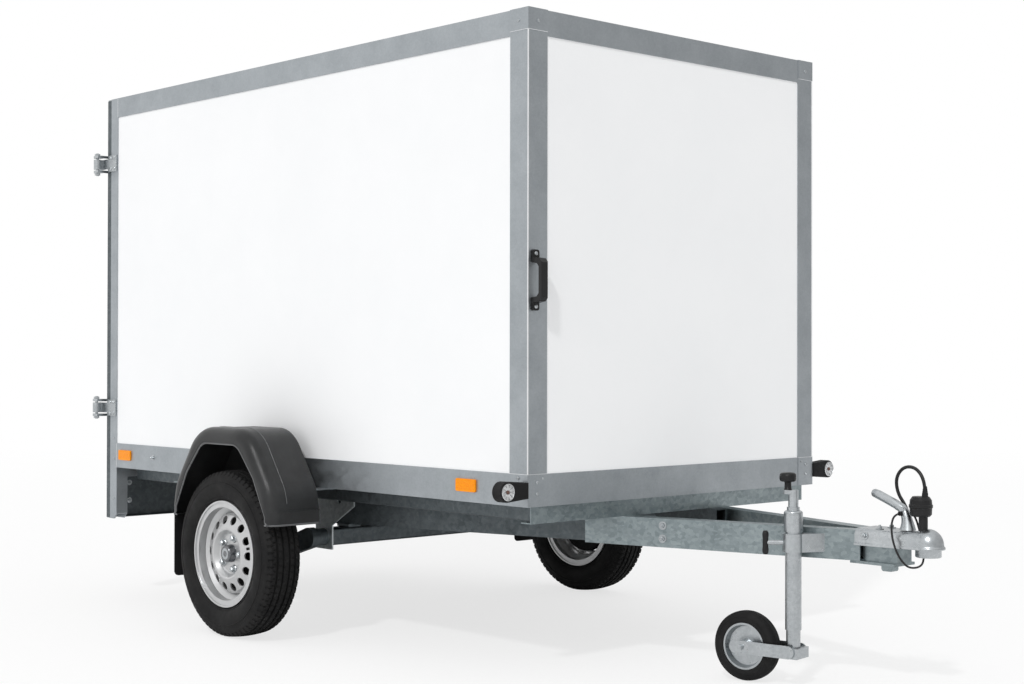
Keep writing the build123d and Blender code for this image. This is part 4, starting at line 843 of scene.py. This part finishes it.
# Rolled lips and crease of the mudguards, in lighter plastic than the guards as a painted highlight
LIP = 0.0035
LIP_INSET = 0.0004
FOOT_PROUD = 0.0024              # lip of the front and back edges outside the guard
CREASE_R = 0.0014
ARCH_R = 0.075
ARCH_FOOT_R = 0.008
CREASE_CORNER_R = 0.15
FOOT_CORNER_R = 0.0372
OUTER_BAND = 0.071
LIP_REACH = 0.200                # how far in the lip of the front and back edges goes
ARC_STEPS = 8
guard_low, guard_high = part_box("mudguards")
guard_x = (guard_low.x + guard_high.x) / 2
guard_half = (guard_high.x - guard_low.x) / 2
guard_foot = guard_low.z
guard_out = guard_high.y
guard_top = guard_high.z
arch_end = guard_half - 0.0245


def rounded(corners, radii):
    """The points of an open flat outline with an arc at each inner corner."""
    corners = [Vector(corner) for corner in corners]
    points = corners[:1]
    for before, corner, after, radius in zip(corners, corners[1:], corners[2:], radii):
        arriving = (corner - before).normalized()
        leaving = (after - corner).normalized()
        turn = arriving.angle_signed(leaving)
        centre = corner + radius / math.cos(turn / 2) * (leaving - arriving).normalized()
        spoke = corner - radius * math.tan(abs(turn) / 2) * arriving - centre
        points += [centre + Matrix.Rotation(-turn * k / ARC_STEPS, 2) @ spoke for k in range(ARC_STEPS + 1)]
    return points + corners[-1:]


def both_ends(half):
    return [(-x, z) for x, z in reversed(half)] + half


arch = rounded(
    both_ends([
        (guard_half - 0.2035, guard_top - 0.0555), (guard_half - 0.1045, guard_top - 0.1625),
        (guard_half - 0.0345, guard_foot + 0.032), (guard_half - 0.0345, guard_foot + 0.015),
        (arch_end, guard_foot + 0.0035)]),
    [ARCH_FOOT_R] * 2 + [ARCH_R] * 4 + [ARCH_FOOT_R] * 2)
crease = rounded(
    both_ends([(0.157, guard_top), (0.298, guard_foot + 0.120), (guard_half - 0.0045, guard_foot + 0.075)]),
    [CREASE_CORNER_R] * 4)
lip_out = guard_out - LIP - LIP_INSET
lip_end = guard_half - LIP + FOOT_PROUD
foot_lip = rounded([(arch_end, lip_out), (lip_end, lip_out), (lip_end, guard_out - LIP_REACH)], [FOOT_CORNER_R])
lips = Shape()
for sign in (-1, 1):
    lips.tube([(guard_x + x, sign * lip_out, z) for x, z in arch], [LIP] * len(arch))
    lips.tube([(guard_x + x, sign * (guard_out - OUTER_BAND), z) for x, z in crease], [CREASE_R] * len(crease), 8)
    for way in (-1, 1):
        lips.tube([(guard_x + way * x, sign * y, guard_foot + LIP) for x, y in foot_lip], [LIP] * len(foot_lip))
lips.piece("mudguard_lips", guard_highlight_plastic, "body", 60)

# Bolt heads of the hinge straps on the doors
STRAP_PROUD = 0.011              # straps' faces behind the rear frame
for name, sign in SIDES:
    heads = Shape()
    for height in hinge_heights:
        for inset in (0.115, 0.225, 0.335):
            heads.dome((rear - STRAP_PROUD, sign * (side - inset), height), (-1, 0, 0), 0.0085)
    heads.piece(f"door_heads_{name}", plated_zinc, f"door_{name}", 30)

# Camera at the photograph's viewing angle
CAMERA_PLACE = (4.40137, -4.10592, 0.97221)
CAMERA_HEADING = 47.167
CAMERA_PITCH = 90.52
CAMERA_ROLL = 0.102
camera_data = bpy.data.cameras.new("camera")
camera_data.sensor_width = 36.0
camera_data.lens = 58.4
camera = placed("camera", camera_data)
camera.matrix_world = (
    Matrix.Translation(CAMERA_PLACE)
    @ Matrix.Rotation(math.radians(CAMERA_HEADING), 4, "Z")
    @ Matrix.Rotation(math.radians(CAMERA_PITCH), 4, "X")
    @ Matrix.Rotation(math.radians(CAMERA_ROLL), 4, "Z")
)
bpy.context.scene.camera = camera

# Pale floor that fades out at its rim
FLOOR_HALF = 14
FLOOR_FADE = 13
FLOOR_GLOW = 0.72                # share of plain white that the camera sees, the rest takes the shadow
floor_mesh = bpy.data.meshes.new("studio_floor")
floor_corners = [(-1, -1), (1, -1), (1, 1), (-1, 1)]
floor_mesh.from_pydata([(FLOOR_HALF * x, FLOOR_HALF * y, 0) for x, y in floor_corners], [], [[0, 1, 2, 3]])
floor_object = placed("studio_floor", floor_mesh)
floor_white, tree, bsdf = shader("floor_white", (0.96, 0.96, 0.96), 0.9)
bsdf.inputs["Specular IOR Level"].default_value = 0.1
fade = tree.nodes.new("ShaderNodeTexGradient")
fade.gradient_type = "SPHERICAL"
tree.links.new(coordinates(tree, (1 / FLOOR_FADE, 1 / FLOOR_FADE, 1)), fade.inputs["Vector"])
opacity = ramp(tree, fade.outputs["Fac"], (0.0, (0, 0, 0)), (0.5, (1, 1, 1)))
tree.links.new(opacity, bsdf.inputs["Alpha"])
glow = tree.nodes.new("ShaderNodeEmission")
glow.inputs["Color"].default_value = (1, 1, 1, 1)
direct = tree.nodes.new("ShaderNodeLightPath")
share = tree.nodes.new("ShaderNodeMath")
share.operation = "MULTIPLY"
share.inputs[1].default_value = FLOOR_GLOW
tree.links.new(direct.outputs["Is Camera Ray"], share.inputs[0])
lit = tree.nodes.new("ShaderNodeMixShader")
tree.links.new(share.outputs["Value"], lit.inputs["Fac"])
tree.links.new(bsdf.outputs["BSDF"], lit.inputs[1])
tree.links.new(glow.outputs["Emission"], lit.inputs[2])
tree.links.new(lit.outputs["Shader"], tree.nodes["Material Output"].inputs["Surface"])
floor_mesh.materials.append(floor_white)

# Soft light all round, with a brighter side for metal to reflect
SOFT_LIGHT = 0.74
BRIGHT_SIDE = (-0.64, -0.77, 0.9)
REFLECTED = (0.56, 1.0)          # strength away from the bright side and towards it
world = bpy.data.worlds.new("studio")
bpy.context.scene.world = world
world.use_nodes = True
tree = world.node_tree
background = tree.nodes["Background"]
background.inputs["Color"].default_value = (1, 1, 1, 1)
rays = tree.nodes.new("ShaderNodeLightPath")
shown = tree.nodes.new("ShaderNodeMath")
shown.operation = "MAXIMUM"
tree.links.new(rays.outputs["Is Camera Ray"], shown.inputs[0])
tree.links.new(rays.outputs["Is Transmission Ray"], shown.inputs[1])
heading = tree.nodes.new("ShaderNodeTexCoord")
facing = tree.nodes.new("ShaderNodeVectorMath")
facing.operation = "DOT_PRODUCT"
facing.inputs[1].default_value = BRIGHT_SIDE
tree.links.new(heading.outputs["Generated"], facing.inputs[0])
sunny = tree.nodes.new("ShaderNodeMapRange")
sunny.interpolation_type = "SMOOTHSTEP"
sunny.inputs["From Min"].default_value = -0.9
sunny.inputs["From Max"].default_value = 0.8
sunny.inputs["To Min"].default_value = REFLECTED[0]
sunny.inputs["To Max"].default_value = REFLECTED[1]
tree.links.new(facing.outputs["Value"], sunny.inputs["Value"])
mirrored = tree.nodes.new("ShaderNodeMix")
mirrored.inputs["A"].default_value = SOFT_LIGHT
tree.links.new(rays.outputs["Is Glossy Ray"], mirrored.inputs["Factor"])
tree.links.new(sunny.outputs["Result"], mirrored.inputs["B"])
strength = tree.nodes.new("ShaderNodeMix")
strength.inputs["B"].default_value = 1.0
tree.links.new(shown.outputs["Value"], strength.inputs["Factor"])
tree.links.new(mirrored.outputs["Result"], strength.inputs["A"])
tree.links.new(strength.outputs["Result"], background.inputs["Strength"])

sun_data = bpy.data.lights.new("key", "SUN")
sun_data.energy = 1.1
sun_data.angle = math.radians(4)
sun = placed("key", sun_data)
sun.rotation_euler = Vector((-0.31, 0.64, -0.70)).to_track_quat("-Z", "Y").to_euler()

bpy.context.scene.view_settings.view_transform = "Standard"

bpy.context.view_layer.update()
